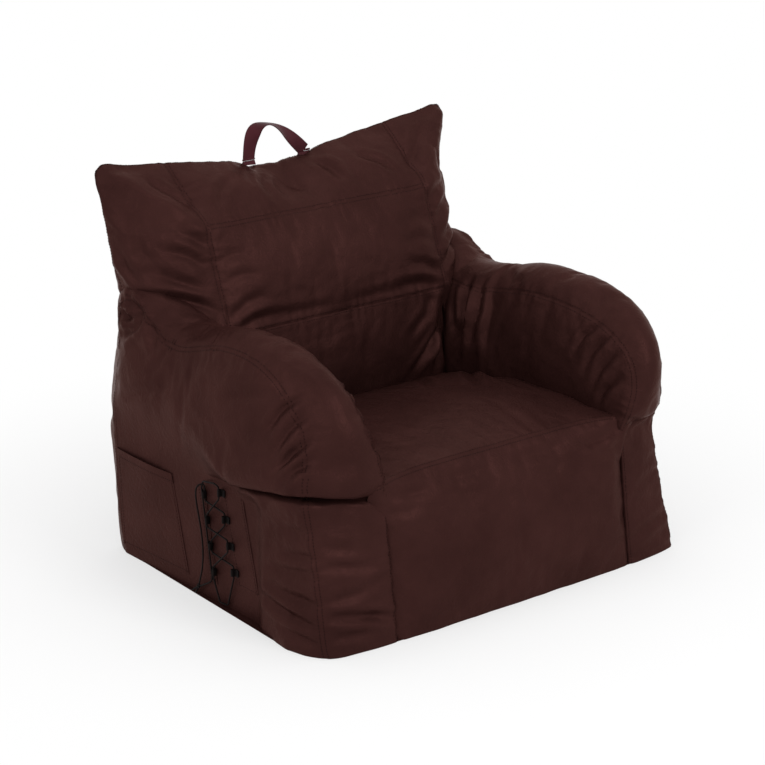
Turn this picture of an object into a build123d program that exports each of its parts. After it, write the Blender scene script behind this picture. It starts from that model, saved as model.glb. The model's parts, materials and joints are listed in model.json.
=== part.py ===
from build123d import *
import math
import os

# A bean bag armchair sewn from woven cloth over loose beads. It faces -Y, with +X on the sitter's left,
# +Z up, and the origin on the floor under the middle of its outline. All sizes are in millimetres.
# The cover thickness stands for the outer cloth with its liner and seam allowances.

# Arms: boxed bolsters, each an inner and an outer panel joined by a band that runs over the arm.
# Distances run back from the front seams.
arm_outer = 430
arm_width = 150
arm_seam_inset = 24
arm_height = 466
arm_crown = 34
arm_shank_crown = 6
arm_set_back = 30
arm_side_round = 26
arm_side_rear_round = 8
arm_flare = 30
arm_foot_back = 14
arm_fold_height = 252
arm_fold_back = 6
arm_nose_height = 360
arm_nose_back = 4
arm_brow_back = 55
arm_crest_back = 240
arm_slope_back = 380
arm_dip_back = 430
arm_dip_height = 400
foot_belly = 8
shoulder_back = 590
shoulder_height = 484
shoulder_round = 16
arm_waist = 648
arm_heel = 648
arm_calf_bulge = 2

# Seat
front_y = -360
seat_height = 285
seat_crown = 12
seat_front_round = 42
seat_depth = 470
seat_drop = 20
seat_crown_share = 0.55
front_bulge = 24
front_belly = 4
front_belly_share = 0.45
front_flare = 28
front_lip = 6
front_lip_drop = 36
front_corner = 15
front_corner_drop = 9

# Back
lumbar_top = 431
lumbar_lean = 20
panel_bulge = 14
centre_panel_top = 625
centre_panel_lean = 71
back_top_height = 690
back_shoulder_height = 722
wing_height = 741
wing_reach = 412
top_seam_back = 690
top_seam_width = 14
brow_back = 62
brow_rise = 8
rear_bulge = 748
rear_bulge_height = 560
rear_waist = 738
rear_waist_height = 440
rear_foot = 660
rear_foot_height = 125
calf_bulge = 22
wing_edge_back = 636
wing_edge_thickness = 30
wing_root_height = 415
wing_root_lean = 14
front_zone_margin = 16

# Cover
cover = 2

# Side pocket, on the outer side at -X; distances run back from the front
pocket_front = 450
pocket_rear = 632
pocket_front_foot = 402
pocket_foot = 26
pocket_top = 210
pocket_depth = 7
pocket_wall = 1.5
pocket_sew = 8
pocket_lean = 10
pocket_foot_drop = 8
pocket_hem_height = 18
pocket_hem_thickness = 1

# Laced slit, beside the pocket
slit_front_top = (290, 232)
slit_front_foot = (244, 54)
slit_rear_top = (344, 214)
slit_rear_foot = (310, 36)
placket_thickness = 1.5
placket_width = 62
rear_placket_width = 24
loops_each_side = 4
loop_first = 0.14
loop_last = 0.94
loop_height = 13
loop_webbing = 1
loop_root = 9
lace_diameter = 3
lace_clearance = 0.3
lace_layer_gap = 3.4
lace_sag = 46
lace_bend = 5
lace_cross = 14
lace_cross_rise = 3
lace_column_rise = 25
lace_column_head = 12
lace_column_foot = 8
lace_column_step = 5.4
lace_straight = 9
knot_radius = 4.5

# Carry handle, a webbing loop sewn into the top seam
handle_span = 134
handle_rise = 66
strap_width = 28
strap_thickness = 2.4
handle_bead = 2
handle_clearance = 0.5
strap_steps = 8
anchor_height = 9.5
anchor_depth = 9
anchor_top = 1
anchor_shoulder = 8

# Zip in the lower rear panel
zip_end_margin = 20
zip_height = 66
zip_tape_width = 15
zip_tape_thickness = 0.8
zip_slot = 9
zip_slot_depth = 1
coil_width = 2.4
coil_thickness = 2
coil_gap = 1.6
coil_round = 0.4
slider_length = 13
slider_width = 9
slider_corner = 2.7
slider_plate = 1.2
slider_gap = 0.4
slider_post = 0.8
slider_post_length = 5.2
slider_post_shift = 1.3
slider_loop_height = 4
slider_loop_reach = 4.4
slider_loop_width = 3.6
stop_length = 5
stop_wall = 0.8

arm_inner = arm_outer - arm_width
arm_middle = arm_outer - arm_width / 2 - cover
arm_seam = arm_outer - arm_seam_inset
arm_seam_crown = arm_crown / 3
far = 2000


def at(back, height):
    """A point in a side view: a distance back from the front seams and a height."""
    return (front_y + back, height)


def side_view(x):
    return Plane.YZ.offset(x)


def slab(x_low, x_high, y_low, y_high, z_low, z_high):
    """A block between six planes, for cutting the cover along its seams."""
    size = (x_high - x_low, y_high - y_low, z_high - z_low)
    middle = ((x_low + x_high) / 2, (y_low + y_high) / 2, (z_low + z_high) / 2)
    return Pos(*middle) * Box(*size)


def mirrored(shape):
    return mirror(shape, Plane.YZ)


# Arm bolsters
def arm_section(x, inset, set_back, crown, waist_back, heel_back):
    """The side outline of an arm: foot, fold, rounded nose, crest, dip, rear shoulder and leaning rear."""
    forward = crown - inset
    shank = arm_shank_crown * crown / arm_crown - inset
    top = arm_height + crown - inset
    foot = at(set_back * arm_foot_back / arm_set_back - arm_flare - shank, cover)
    fold = at(set_back + arm_fold_back - shank, arm_fold_height)
    belly = at((set_back + arm_foot_back - arm_flare) / 2 - shank - foot_belly, arm_fold_height / 2)
    chin = at(set_back + arm_nose_back - forward, arm_nose_height)
    brow = at(set_back + arm_brow_back - forward, top)
    crest = at(arm_crest_back, top)
    slope = at(arm_slope_back, top)
    dip = at(arm_dip_back, arm_dip_height + crown - inset)
    shoulder = at(shoulder_back, shoulder_height + crown - inset)
    waist = at(waist_back - inset, rear_waist_height)
    nape = at(
        (shoulder_back + 3 * waist_back) / 4 - inset,
        (shoulder_height + crown - inset + rear_waist_height) / 2 + shoulder_round,
    )
    calf_height = (rear_waist_height + rear_foot_height) / 2
    calf = at((waist_back + heel_back) / 2 + arm_calf_bulge - inset, calf_height)
    ankle = at(heel_back - inset, rear_foot_height)
    heel = at(heel_back - inset, cover)
    with BuildSketch(side_view(x)) as outline:
        with BuildLine():
            ThreePointArc(foot, belly, fold)
            Bezier(fold, chin, brow, crest)
            Bezier(crest, slope, dip, shoulder)
            ThreePointArc(shoulder, nape, waist)
            ThreePointArc(waist, calf, ankle)
            Polyline(ankle, heel, foot)
        make_face()
    return outline.sketch


def arm_form(inset):
    """The bolster on +X: crowned along the band and rounded over to a flat outer side."""
    middle_waist = (rear_waist + arm_waist) / 2
    middle_heel = (rear_foot + arm_heel) / 2
    side_waist = arm_waist - arm_side_rear_round
    side_heel = arm_heel - arm_side_rear_round
    sections = [
        arm_section(arm_inner + inset, inset, 0, 0, rear_waist, rear_foot),
        arm_section(arm_middle, inset, arm_set_back / 2, arm_crown, middle_waist, middle_heel),
        arm_section(arm_seam, inset, arm_set_back, arm_seam_crown, arm_waist, arm_heel),
        arm_section(arm_outer - inset, inset, arm_set_back, -arm_side_round, side_waist, side_heel),
    ]
    return loft(sections)


# Seat
def seat_section(x, inset, bulge):
    foot = at(inset - front_flare, cover)
    belly = at(inset - bulge - front_belly, seat_height * front_belly_share)
    lip = at(inset + front_lip - bulge / 2, seat_height - front_lip_drop)
    edge = at(seat_front_round, seat_height - inset + bulge / 4)
    corner = at(inset + front_corner - bulge / 2, seat_height - front_corner_drop - inset + bulge / 5)
    crown = at(seat_depth * seat_crown_share, seat_height + seat_crown * bulge / front_bulge - inset)
    crease = at(seat_depth, seat_height - seat_drop - inset)
    with BuildSketch(side_view(x)) as outline:
        with BuildLine():
            ThreePointArc(foot, belly, lip)
            ThreePointArc(lip, corner, edge)
            ThreePointArc(edge, crown, crease)
            Line(crease, at(seat_depth, cover))
            Line(at(seat_depth, cover), foot)
        make_face()
    return outline.sketch


def seat_form(inset):
    """The seat between the arms, crowned at the top and bulging at the front."""
    sections = [
        seat_section(-arm_inner, inset, 0),
        seat_section(0, inset, front_bulge),
        seat_section(arm_inner, inset, 0),
    ]
    return loft(sections)


# Back
def back_section(x, inset, top):
    """The side outline of the back between the arms, from the floor to the top seam."""
    crease = at(seat_depth + inset, seat_height - seat_drop)
    lumbar = at(seat_depth + lumbar_lean + inset, lumbar_top)
    panel = at(seat_depth + lumbar_lean + centre_panel_lean + inset, centre_panel_top)
    swell_back = seat_depth + lumbar_lean + centre_panel_lean / 2 - panel_bulge + inset
    swell = at(swell_back, (lumbar_top + centre_panel_top) / 2)
    top_front = at(top_seam_back + inset, top - inset)
    top_rear = at(top_seam_back + top_seam_width - inset, top - inset)
    bulge = at(rear_bulge - inset, rear_bulge_height)
    waist = at(rear_waist - inset, rear_waist_height)
    calf = at((rear_waist + rear_foot) / 2 + calf_bulge - inset, (rear_waist_height + rear_foot_height) / 2)
    ankle = at(rear_foot - inset, rear_foot_height)
    brow = at(top_seam_back - brow_back + inset, (centre_panel_top + top) / 2 + brow_rise - inset)
    with BuildSketch(side_view(x)) as outline:
        with BuildLine():
            Polyline(at(seat_depth + inset, cover), crease, lumbar)
            ThreePointArc(lumbar, swell, panel)
            ThreePointArc(panel, brow, top_front)
            Line(top_front, top_rear)
            ThreePointArc(top_rear, bulge, waist)
            ThreePointArc(waist, calf, ankle)
            Polyline(ankle, at(rear_foot - inset, cover), at(seat_depth + inset, cover))
        make_face()
    return outline.sketch


def back_form(inset):
    """The back between the arms, with a top seam that sags in the middle."""
    sections = [
        back_section(-arm_inner, inset, back_shoulder_height),
        back_section(0, inset, back_top_height),
        back_section(arm_inner, inset, back_shoulder_height),
    ]
    return loft(sections)


def wing_root(inset):
    """Where a wing joins the back: the same outline, from the root height up."""
    root = at(seat_depth + lumbar_lean + wing_root_lean + inset, wing_root_height)
    panel = at(seat_depth + lumbar_lean + centre_panel_lean + inset, centre_panel_top)
    top = back_shoulder_height
    top_front = at(top_seam_back + inset, top - inset)
    top_rear = at(top_seam_back + top_seam_width - inset, top - inset)
    brow = at(top_seam_back - brow_back + inset, (centre_panel_top + top) / 2 + brow_rise - inset)
    bulge = at(rear_bulge - inset, rear_bulge_height)
    waist = at(rear_waist - inset, rear_waist_height)
    with BuildSketch(side_view(arm_inner)) as outline:
        with BuildLine():
            Line(root, panel)
            ThreePointArc(panel, brow, top_front)
            Line(top_front, top_rear)
            ThreePointArc(top_rear, bulge, waist)
            Line(waist, root)
        make_face()
    return outline.sketch


def wing_tip(inset):
    """The thin outer edge of a wing, which rises to a pointed corner."""
    half = wing_edge_thickness / 2 - inset
    root = at(wing_edge_back - half, wing_root_height)
    panel_height = (wing_root_height + wing_height) / 2
    panel_back = (wing_edge_back + top_seam_back) / 2
    panel = at(panel_back - half, panel_height)
    top_front = at(top_seam_back + inset, wing_height - inset)
    top_rear = at(top_seam_back + top_seam_width - inset, wing_height - inset)
    brow = at((panel_back + top_seam_back) / 2 - half, (panel_height + wing_height) / 2)
    bulge = at(panel_back + half, panel_height)
    waist = at(wing_edge_back + half, rear_waist_height)
    with BuildSketch(side_view(wing_reach - inset)) as outline:
        with BuildLine():
            Line(root, panel)
            ThreePointArc(panel, brow, top_front)
            Line(top_front, top_rear)
            ThreePointArc(top_rear, bulge, waist)
            Line(waist, root)
        make_face()
    return outline.sketch


def wing_form(inset):
    """The +X wing of the back, which rests on the rear shoulder of the arm."""
    return loft([wing_root(inset), wing_tip(inset)], ruled=True)


# Cover panels and bead fill
pieces = {}

arm_outside = arm_form(0)
arm_fill = arm_form(cover)
arm_cover = arm_outside - arm_fill
seat_outside = seat_form(0)
seat_fill = seat_form(cover)
seat_cover = seat_outside - seat_fill
back_outside = back_form(0)
back_fill = back_form(cover)
back_cover = back_outside - back_fill
wing_outside = wing_form(0) - arm_outside
wing_fill = wing_form(cover) - arm_outside
wing_cover = wing_outside - wing_fill

for side, place in (("left", lambda shape: shape), ("right", mirrored)):
    pieces[f"{side}_arm_bead_fill"] = place(arm_fill)
    pieces[f"{side}_side_panel"] = place(arm_cover & slab(arm_seam, far, -far, far, 0, far))
    pieces[f"{side}_arm_inner_panel"] = place(arm_cover & slab(0, arm_inner + cover, -far, far, 0, far))
    pieces[f"{side}_arm_band"] = place(arm_cover & slab(arm_inner + cover, arm_seam, -far, far, 0, far))

seat_seam = front_y + seat_front_round
pieces["seat_bead_fill"] = seat_fill
pieces["seat_panel"] = seat_cover & slab(-far, far, seat_seam, far, cover, far)
pieces["front_panel"] = seat_cover & slab(-far, far, -far, seat_seam, cover, far)

# Back panels, cut along their seams
front_zone_end = front_y + rear_foot - front_zone_margin
lumbar_zone = slab(-far, far, -far, front_zone_end, seat_height - seat_drop, lumbar_top)
centre_zone = slab(-far, far, -far, front_zone_end, lumbar_top, centre_panel_top)
top_seam_middle = front_y + top_seam_back + top_seam_width / 2
top_zone = slab(-far, far, -far, top_seam_middle, centre_panel_top, far)
hidden_zone = slab(-far, far, -far, front_y + seat_depth + cover, 0, seat_height - seat_drop)
pieces["lumbar_panel"] = back_cover & lumbar_zone
pieces["back_centre_panel"] = back_cover & centre_zone
pieces["back_top_panel"] = back_cover & top_zone
back_rear = back_cover - lumbar_zone - centre_zone - top_zone - hidden_zone

with BuildSketch(side_view(0)) as behind_edge:
    with BuildLine():
        Polyline(
            at(wing_edge_back, 0),
            at(wing_edge_back, wing_root_height),
            (top_seam_middle, wing_height),
            (top_seam_middle, far),
            (far, far),
            (far, 0),
            at(wing_edge_back, 0),
        )
    make_face()
behind_wing_edge = extrude(behind_edge.sketch, far)
wing_front = wing_cover - behind_wing_edge
wing_rear = wing_cover & behind_wing_edge
pieces["left_wing_panel"] = wing_front
pieces["right_wing_panel"] = mirrored(wing_front)
rear_panel = back_rear + wing_rear + mirrored(wing_rear)
back_bead_fill = back_fill + wing_fill + mirrored(wing_fill)

# Base panel: the footprint of the arms, the seat and the back
footprint = [arm_outside, mirrored(arm_outside), seat_outside, back_outside]
base = None
for form in footprint:
    sole = extrude(form.faces().sort_by(Axis.Z)[0], cover, dir=(0, 0, -1))
    base = sole if base is None else base + sole
pieces["base_panel"] = base

# Zip in the lower rear panel
rear_face = front_y + rear_foot
tape_face = rear_face - cover
coil_middle = rear_face - cover / 2
zip_half = arm_inner - zip_end_margin
zip_room = zip_tape_thickness + slider_plate + slider_gap * 2
rear_panel -= slab(
    -zip_half,
    zip_half,
    tape_face - zip_slot_depth,
    far,
    zip_height - zip_slot / 2,
    zip_height + zip_slot / 2,
)
back_bead_fill -= slab(
    -zip_half,
    zip_half,
    tape_face - zip_room,
    far,
    zip_height - zip_tape_width - coil_gap,
    zip_height + zip_tape_width + coil_gap,
)
for name, turn in (("upper", 1), ("lower", -1)):
    edge = zip_height + turn * (coil_gap / 2 + coil_width)
    outer = zip_height + turn * (coil_gap / 2 + coil_width + zip_tape_width - coil_width)
    low, high = sorted((edge, outer))
    pieces[f"zip_tape_{name}"] = slab(
        -zip_half, zip_half, tape_face - zip_tape_thickness, tape_face, low, high
    )
    low, high = sorted((edge, zip_height + turn * coil_gap / 2))
    coil = slab(
        -zip_half, zip_half, coil_middle - coil_thickness / 2, coil_middle + coil_thickness / 2, low, high
    )
    pieces[f"zip_coil_{name}"] = fillet(coil.edges().filter_by(Axis.X), coil_round)

stop_middle = zip_half - stop_length / 2
stop_half_height = coil_gap / 2 + coil_width + stop_wall
stop = slab(
    stop_middle - stop_length / 2,
    stop_middle + stop_length / 2,
    coil_middle + coil_thickness / 2,
    coil_middle + coil_thickness / 2 + stop_wall,
    zip_height - stop_half_height,
    zip_height + stop_half_height,
)
pieces["zip_stops"] = stop + mirrored(stop)

slider_start = -zip_half + stop_length + slider_gap + slider_length / 2
outer_plate_face = coil_middle + coil_thickness / 2 + slider_gap
inner_plate_face = tape_face - zip_tape_thickness - slider_gap


def slider_plate_at(y_low):
    """One plate of the slider, with rounded corners."""
    with BuildSketch(Plane.XZ.offset(-y_low)) as plate:
        with Locations((slider_start, zip_height)):
            RectangleRounded(slider_length, slider_width, slider_corner)
    return extrude(plate.sketch, -slider_plate)


slider = slider_plate_at(outer_plate_face) + slider_plate_at(inner_plate_face - slider_plate)
slider += slab(
    slider_start - slider_post_shift - slider_post_length / 2,
    slider_start - slider_post_shift + slider_post_length / 2,
    inner_plate_face - slider_plate / 2,
    outer_plate_face + slider_plate / 2,
    zip_height - slider_post / 2,
    zip_height + slider_post / 2,
)
with BuildSketch(Plane.XY.offset(zip_height - slider_loop_width / 2)) as bail:
    with Locations((slider_start, outer_plate_face + slider_plate)):
        Ellipse(slider_loop_reach, slider_loop_height)
        Ellipse(slider_loop_reach - slider_plate, slider_loop_height - slider_plate, mode=Mode.SUBTRACT)
        with Locations((0, -slider_loop_height)):
            Rectangle(slider_length, slider_loop_height * 2, mode=Mode.SUBTRACT)
slider += extrude(bail.sketch, slider_loop_width)
pieces["zip_slider"] = slider

pieces["rear_panel"] = rear_panel
pieces["back_bead_fill"] = back_bead_fill

# Carry handle: a flat strap that leaves the seam upright, twists to lie flat over the hand and comes back
hinge_y = top_seam_middle
hinge_z = back_top_height + anchor_height + handle_clearance + handle_bead
leg = handle_span / 2


def strap_section(share):
    """A cross-section of the strap; share runs from 0 at one foot to 1 at the other."""
    angle = math.pi * share
    middle = (-leg * math.cos(angle), hinge_y, hinge_z + handle_rise * math.sin(angle))
    run = Vector(leg * math.sin(angle), 0, handle_rise * math.cos(angle))
    twist = math.radians(90) * math.sin(angle) ** 2
    across = run.cross(Vector(0, 1, 0)).normalized()
    width = across * math.cos(twist) + Vector(0, 1, 0) * math.sin(twist)
    return Plane(origin=middle, x_dir=width, z_dir=run) * Rectangle(strap_width, strap_thickness)


strap = loft([strap_section(step / strap_steps) for step in range(strap_steps + 1)])
foot_bead = Pos(leg, hinge_y, hinge_z) * Rot(0, 90, 0) * Cylinder(handle_bead, strap_width)
pieces["carry_handle"] = strap + foot_bead + mirrored(foot_bead)
with BuildSketch(side_view(leg - strap_width / 2)) as anchor_fold:
    with BuildLine():
        Polyline(
            (hinge_y - anchor_depth / 2, back_top_height - anchor_height),
            (hinge_y - anchor_depth / 2, back_top_height + anchor_height - anchor_shoulder),
            (hinge_y - anchor_top / 2, back_top_height + anchor_height),
            (hinge_y + anchor_top / 2, back_top_height + anchor_height),
            (hinge_y + anchor_depth / 2, back_top_height + anchor_height - anchor_shoulder),
            (hinge_y + anchor_depth / 2, back_top_height - anchor_height),
            close=True,
        )
    make_face()
anchor = extrude(anchor_fold.sketch, strap_width) - back_outside
pieces["handle_anchors"] = anchor + mirrored(anchor)

# Side pocket: a patch sewn down on three edges, open at the top
side_face = Plane(origin=(-arm_outer, front_y, 0), x_dir=(0, 1, 0), z_dir=(1, 0, 0))


def patch(points, thickness, height=0):
    """A flat piece on the -X side; its points are distances back from the front and heights."""
    with BuildSketch(side_face.offset(-height)) as outline:
        with BuildLine():
            Polyline(*points, close=True)
        make_face()
    return extrude(outline.sketch, -thickness)


pocket_outline = [
    (pocket_front, pocket_top),
    (pocket_rear, pocket_top),
    (pocket_rear - pocket_lean, pocket_foot - pocket_foot_drop),
    (pocket_front_foot, pocket_foot),
]
room_outline = [
    (pocket_front + pocket_sew, pocket_top + pocket_depth),
    (pocket_rear - pocket_sew, pocket_top + pocket_depth),
    (pocket_rear - pocket_lean - pocket_sew, pocket_foot + pocket_sew),
    (pocket_front_foot + pocket_sew * 2, pocket_foot + pocket_sew),
]
pocket = patch(pocket_outline, pocket_depth) - patch(room_outline, pocket_depth - pocket_wall)
hem_drop = pocket_hem_height / (pocket_top - pocket_foot) * (pocket_front - pocket_front_foot)
hem_outline = [
    (pocket_front, pocket_top),
    (pocket_rear, pocket_top),
    (pocket_rear, pocket_top - pocket_hem_height),
    (pocket_front - hem_drop, pocket_top - pocket_hem_height),
]
pieces["side_pocket"] = pocket
pieces["side_pocket_hem"] = patch(hem_outline, pocket_hem_thickness, pocket_depth)

# Laced slit: two plackets with webbing loops along their edges, and a lace drawn across the gap
pieces["front_placket"] = patch(
    [
        slit_front_top,
        slit_front_foot,
        (slit_front_foot[0] - placket_width, slit_front_foot[1]),
        (slit_front_top[0] - placket_width, slit_front_top[1]),
    ],
    placket_thickness,
)
pieces["rear_placket"] = patch(
    [
        slit_rear_top,
        slit_rear_foot,
        (slit_rear_foot[0] + rear_placket_width, slit_rear_foot[1]),
        (slit_rear_top[0] + rear_placket_width, slit_rear_top[1]),
    ],
    placket_thickness,
)

loop_eye = lace_diameter + 2 * lace_clearance
eye_depth = lace_layer_gap + loop_eye
loop_reach = loop_eye / 2 + loop_webbing


def along(top, foot, share):
    """A point on a slit edge, at a share of its length up from the foot."""
    return tuple(low + (high - low) * share for low, high in zip(foot, top))


def loop_shares():
    step = (loop_last - loop_first) / (loops_each_side - 1)
    return [loop_first + step * index for index in range(loops_each_side)]


front_eyes = [along(slit_front_top, slit_front_foot, share) for share in loop_shares()]
rear_eyes = [along(slit_rear_top, slit_rear_foot, share) for share in loop_shares()]


def webbing_loop(eye, towards):
    """A folded tab of webbing round the lace, sewn to the placket by its root."""
    eye_back = eye[0] + towards * loop_reach
    corner = (-arm_outer - placket_thickness, front_y, eye[1] - loop_height / 2)
    with BuildSketch(Plane(corner, x_dir=(0, 1, 0), z_dir=(0, 0, 1))) as fold:
        with Locations((eye_back, eye_depth / 2 + loop_webbing)):
            SlotCenterToCenter(eye_depth - loop_eye, loop_eye + 2 * loop_webbing, rotation=90)
        with Locations((eye_back - towards * (loop_reach + loop_root) / 2, loop_webbing)):
            Rectangle(loop_reach + loop_root, 2 * loop_webbing)
        with Locations((eye_back, eye_depth / 2 + loop_webbing)):
            SlotCenterToCenter(eye_depth - loop_eye, loop_eye, rotation=90, mode=Mode.SUBTRACT)
    return extrude(fold.sketch, loop_height)


def group(shapes):
    return Compound(children=list(shapes))


pieces["front_lace_loops"] = group(webbing_loop(eye, 1) for eye in front_eyes)
pieces["rear_lace_loops"] = group(webbing_loop(eye, -1) for eye in rear_eyes)

loop_pass = loop_height + 2 * lace_bend
lace_inner = placket_thickness + loop_webbing + loop_eye / 2
lace_outer = lace_inner + lace_layer_gap
lace_column = placket_thickness + 2 * loop_webbing + lace_diameter / 2 + lace_clearance


def lace_point(back, height, depth):
    """A point beside the -X side, at a depth outwards from it."""
    return Vector(-arm_outer - depth, front_y + back, height)


def through(eye, towards, depth, upwards):
    """The two points where the lace enters and leaves the eye of a loop."""
    ends = [
        lace_point(eye[0] + towards * loop_reach, eye[1] + end * loop_pass / 2, depth) for end in (-1, 1)
    ]
    return ends if upwards else ends[::-1]


def tube(points, radii, diameter):
    """A round cord along straight runs joined by arcs."""
    path = FilletPolyline(*points, radius=radii)
    return sweep(Plane(path @ 0, z_dir=path % 0) * Circle(diameter / 2), path=path)


def natural_radii(points, most=1000):
    """The largest arc that the shorter of the two runs at each corner has room for."""
    radii = []
    for before, corner, after in zip(points, points[1:], points[2:]):
        turn = math.radians((corner - before).get_angle(after - corner))
        shorter = min((corner - before).length, (after - corner).length)
        radii.append(min(most, 0.45 * shorter / math.tan(turn / 2)))
    return radii


# The lace comes down one zigzag, hangs slack across the foot of the slit, goes up the other zigzag,
# crosses the top and runs down beside the rear loops
route = []
for index in reversed(range(loops_each_side)):
    on_rear = (loops_each_side - 1 - index) % 2 == 0
    eyes, towards = (rear_eyes, -1) if on_rear else (front_eyes, 1)
    route += through(eyes[index], towards, lace_inner, False)
slack_front = front_eyes[0][0] + loop_reach
slack_rear = rear_eyes[0][0] - loop_reach
slack_low = rear_eyes[0][1] - loop_height / 2 - lace_sag
slack_third = (slack_rear - slack_front) / 3
route.append(lace_point(slack_front + slack_third, slack_low, lace_inner))
route.append(lace_point(slack_rear - slack_third, slack_low, lace_outer))
for index in range(loops_each_side):
    on_rear = index % 2 == 0
    eyes, towards = (rear_eyes, -1) if on_rear else (front_eyes, 1)
    route += through(eyes[index], towards, lace_outer, True)
column_top = rear_eyes[-1]
column_foot = rear_eyes[0]
cross_back = front_eyes[-1][0] + loop_reach + lace_cross
cross_height = front_eyes[-1][1] + loop_pass / 2 + lace_cross_rise
route.append(lace_point(cross_back, cross_height, lace_outer))
route.append(lace_point(column_top[0], column_top[1] + lace_column_rise, lace_column))
route.append(lace_point(column_top[0] + lace_column_step, column_top[1] + lace_column_head, lace_column))
route.append(lace_point(column_foot[0] + lace_column_step, column_foot[1] - lace_column_foot, lace_column))
pieces["lace"] = tube(route, natural_radii(route, lace_bend), lace_diameter)

# Lace ends: one hangs from the top rear loop, one leaves the foot of the column, and a knot ties them
tail_long_route = [
    route[0],
    route[0] + Vector(0, 0, lace_straight),
    lace_point(343, 224, 12),
    lace_point(351, 216, 15.5),
    lace_point(354, 192, 14),
    lace_point(349, 152, 10),
    lace_point(344, 118, 8.5),
    lace_point(343, 86, 8),
    lace_point(347, 56, 8),
    lace_point(354, 36, 8),
    lace_point(358, 24, 8),
]
tail_short_route = [
    route[-1],
    route[-1] + (route[-1] - route[-2]).normalized() * lace_straight,
    lace_point(326, 36, 7.5),
    lace_point(336, 31, 8),
    lace_point(346, 25, 8),
    lace_point(355, 20.5, 8),
]
tail_long_radii = natural_radii(tail_long_route)
tail_short_radii = natural_radii(tail_short_route)
print("long lace end radii", [round(radius, 1) for radius in tail_long_radii])
print("short lace end radii", [round(radius, 1) for radius in tail_short_radii])
tail_long = tube(tail_long_route, tail_long_radii, lace_diameter)
tail_short = tube(tail_short_route, tail_short_radii, lace_diameter)
knot_middle = lace_point(359, 19.5, 8)
knot = Pos(*knot_middle) * Sphere(knot_radius)
for tip in (lace_point(379, 5, 9), lace_point(366, 4, 11)):
    tip_run = tip - knot_middle
    tip_rod = extrude(Plane(knot_middle, z_dir=tip_run) * Circle(lace_diameter / 2), tip_run.length)
    knot += tip_rod
pieces["lace_end_long"] = tail_long
pieces["lace_end_short"] = tail_short
pieces["lace_knot"] = knot - tail_long - tail_short

os.makedirs("parts", exist_ok=True)
for name, shape in pieces.items():
    export_step(shape, f"parts/{name}.step")
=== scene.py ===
import json
import math
from functools import partial

import bpy
import numpy as np
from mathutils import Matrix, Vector, geometry, noise
from mathutils.bvhtree import BVHTree

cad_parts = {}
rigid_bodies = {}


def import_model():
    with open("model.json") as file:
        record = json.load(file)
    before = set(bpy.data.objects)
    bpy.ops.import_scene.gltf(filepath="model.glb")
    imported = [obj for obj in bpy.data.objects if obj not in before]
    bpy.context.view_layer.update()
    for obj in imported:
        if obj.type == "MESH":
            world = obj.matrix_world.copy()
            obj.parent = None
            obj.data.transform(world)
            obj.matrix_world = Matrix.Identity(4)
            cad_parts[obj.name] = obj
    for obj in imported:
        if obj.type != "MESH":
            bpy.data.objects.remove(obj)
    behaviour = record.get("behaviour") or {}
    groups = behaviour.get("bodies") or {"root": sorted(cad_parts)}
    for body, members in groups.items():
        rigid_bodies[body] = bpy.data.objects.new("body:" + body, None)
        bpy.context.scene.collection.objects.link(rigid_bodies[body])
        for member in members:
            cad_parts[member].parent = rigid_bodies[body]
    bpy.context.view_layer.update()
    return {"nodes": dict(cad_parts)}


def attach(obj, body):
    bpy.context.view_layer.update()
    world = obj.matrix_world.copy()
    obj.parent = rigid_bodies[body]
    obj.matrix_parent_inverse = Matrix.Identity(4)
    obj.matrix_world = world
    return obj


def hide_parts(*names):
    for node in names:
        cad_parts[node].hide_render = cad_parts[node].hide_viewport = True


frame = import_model()

# Sizes in metres, in the frame of the solids: the chair faces -Y, +X is the sitter's left, Z is up
FRONT = -0.36          # the front seams stand on this plane
CELL = 0.0085          # spacing of the cloth before it is subdivided

# Arm bolster
SEAM_IN = 0.281        # inner arm seam at the front
SEAM_OUT = 0.424       # outer arm seam at the front
SEAM_IN_TOP = 0.298    # the same seams where they cross the top of the arm
SEAM_OUT_TOP = 0.402
ARM_TOP = 0.466        # crest of the arm seams
ARM_LIFT = {1: -0.004, -1: 0.006}       # the two arms slump differently: crest,
ARM_FORWARD = {1: 0.048, -1: 0.0}       # nose,
SHOULDER_LIFT = {1: -0.018, -1: 0.010}  # shoulder,
ROLL_BULGE = {1: 0.004, -1: 0.012}      # roll over the deep fold
SPREAD_HEIGHTS = (0, 0.12, 0.22, 0.30, 0.45)  # and side, at these heights
ARM_SPREAD = {1: (-0.012, -0.024, -0.032, -0.016, 0.008), -1: (0.010, 0.008, 0.008, 0.008, 0.008)}
WING_ROOT_X = {1: 0.344, -1: 0.406}
WING_FLARE = {1: 2.3, -1: 1.5}         # the higher, the later the wing's edge turns out
FOLD_Z = 0.252         # the fold under the roll of the arm
BAND_CROWN = 0.034
SHANK_CROWN = 0.006
SIDE_CROWN = 0.016
FRONT_RUN = 0.47       # length of an arm seam up the front or down the rear,
TOP_RUN = 0.66         # over the top,
BAND_RUN = 0.15        # and across the band
FOOT_BOW = 0.010       # swell of the outer panel at the floor

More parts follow.
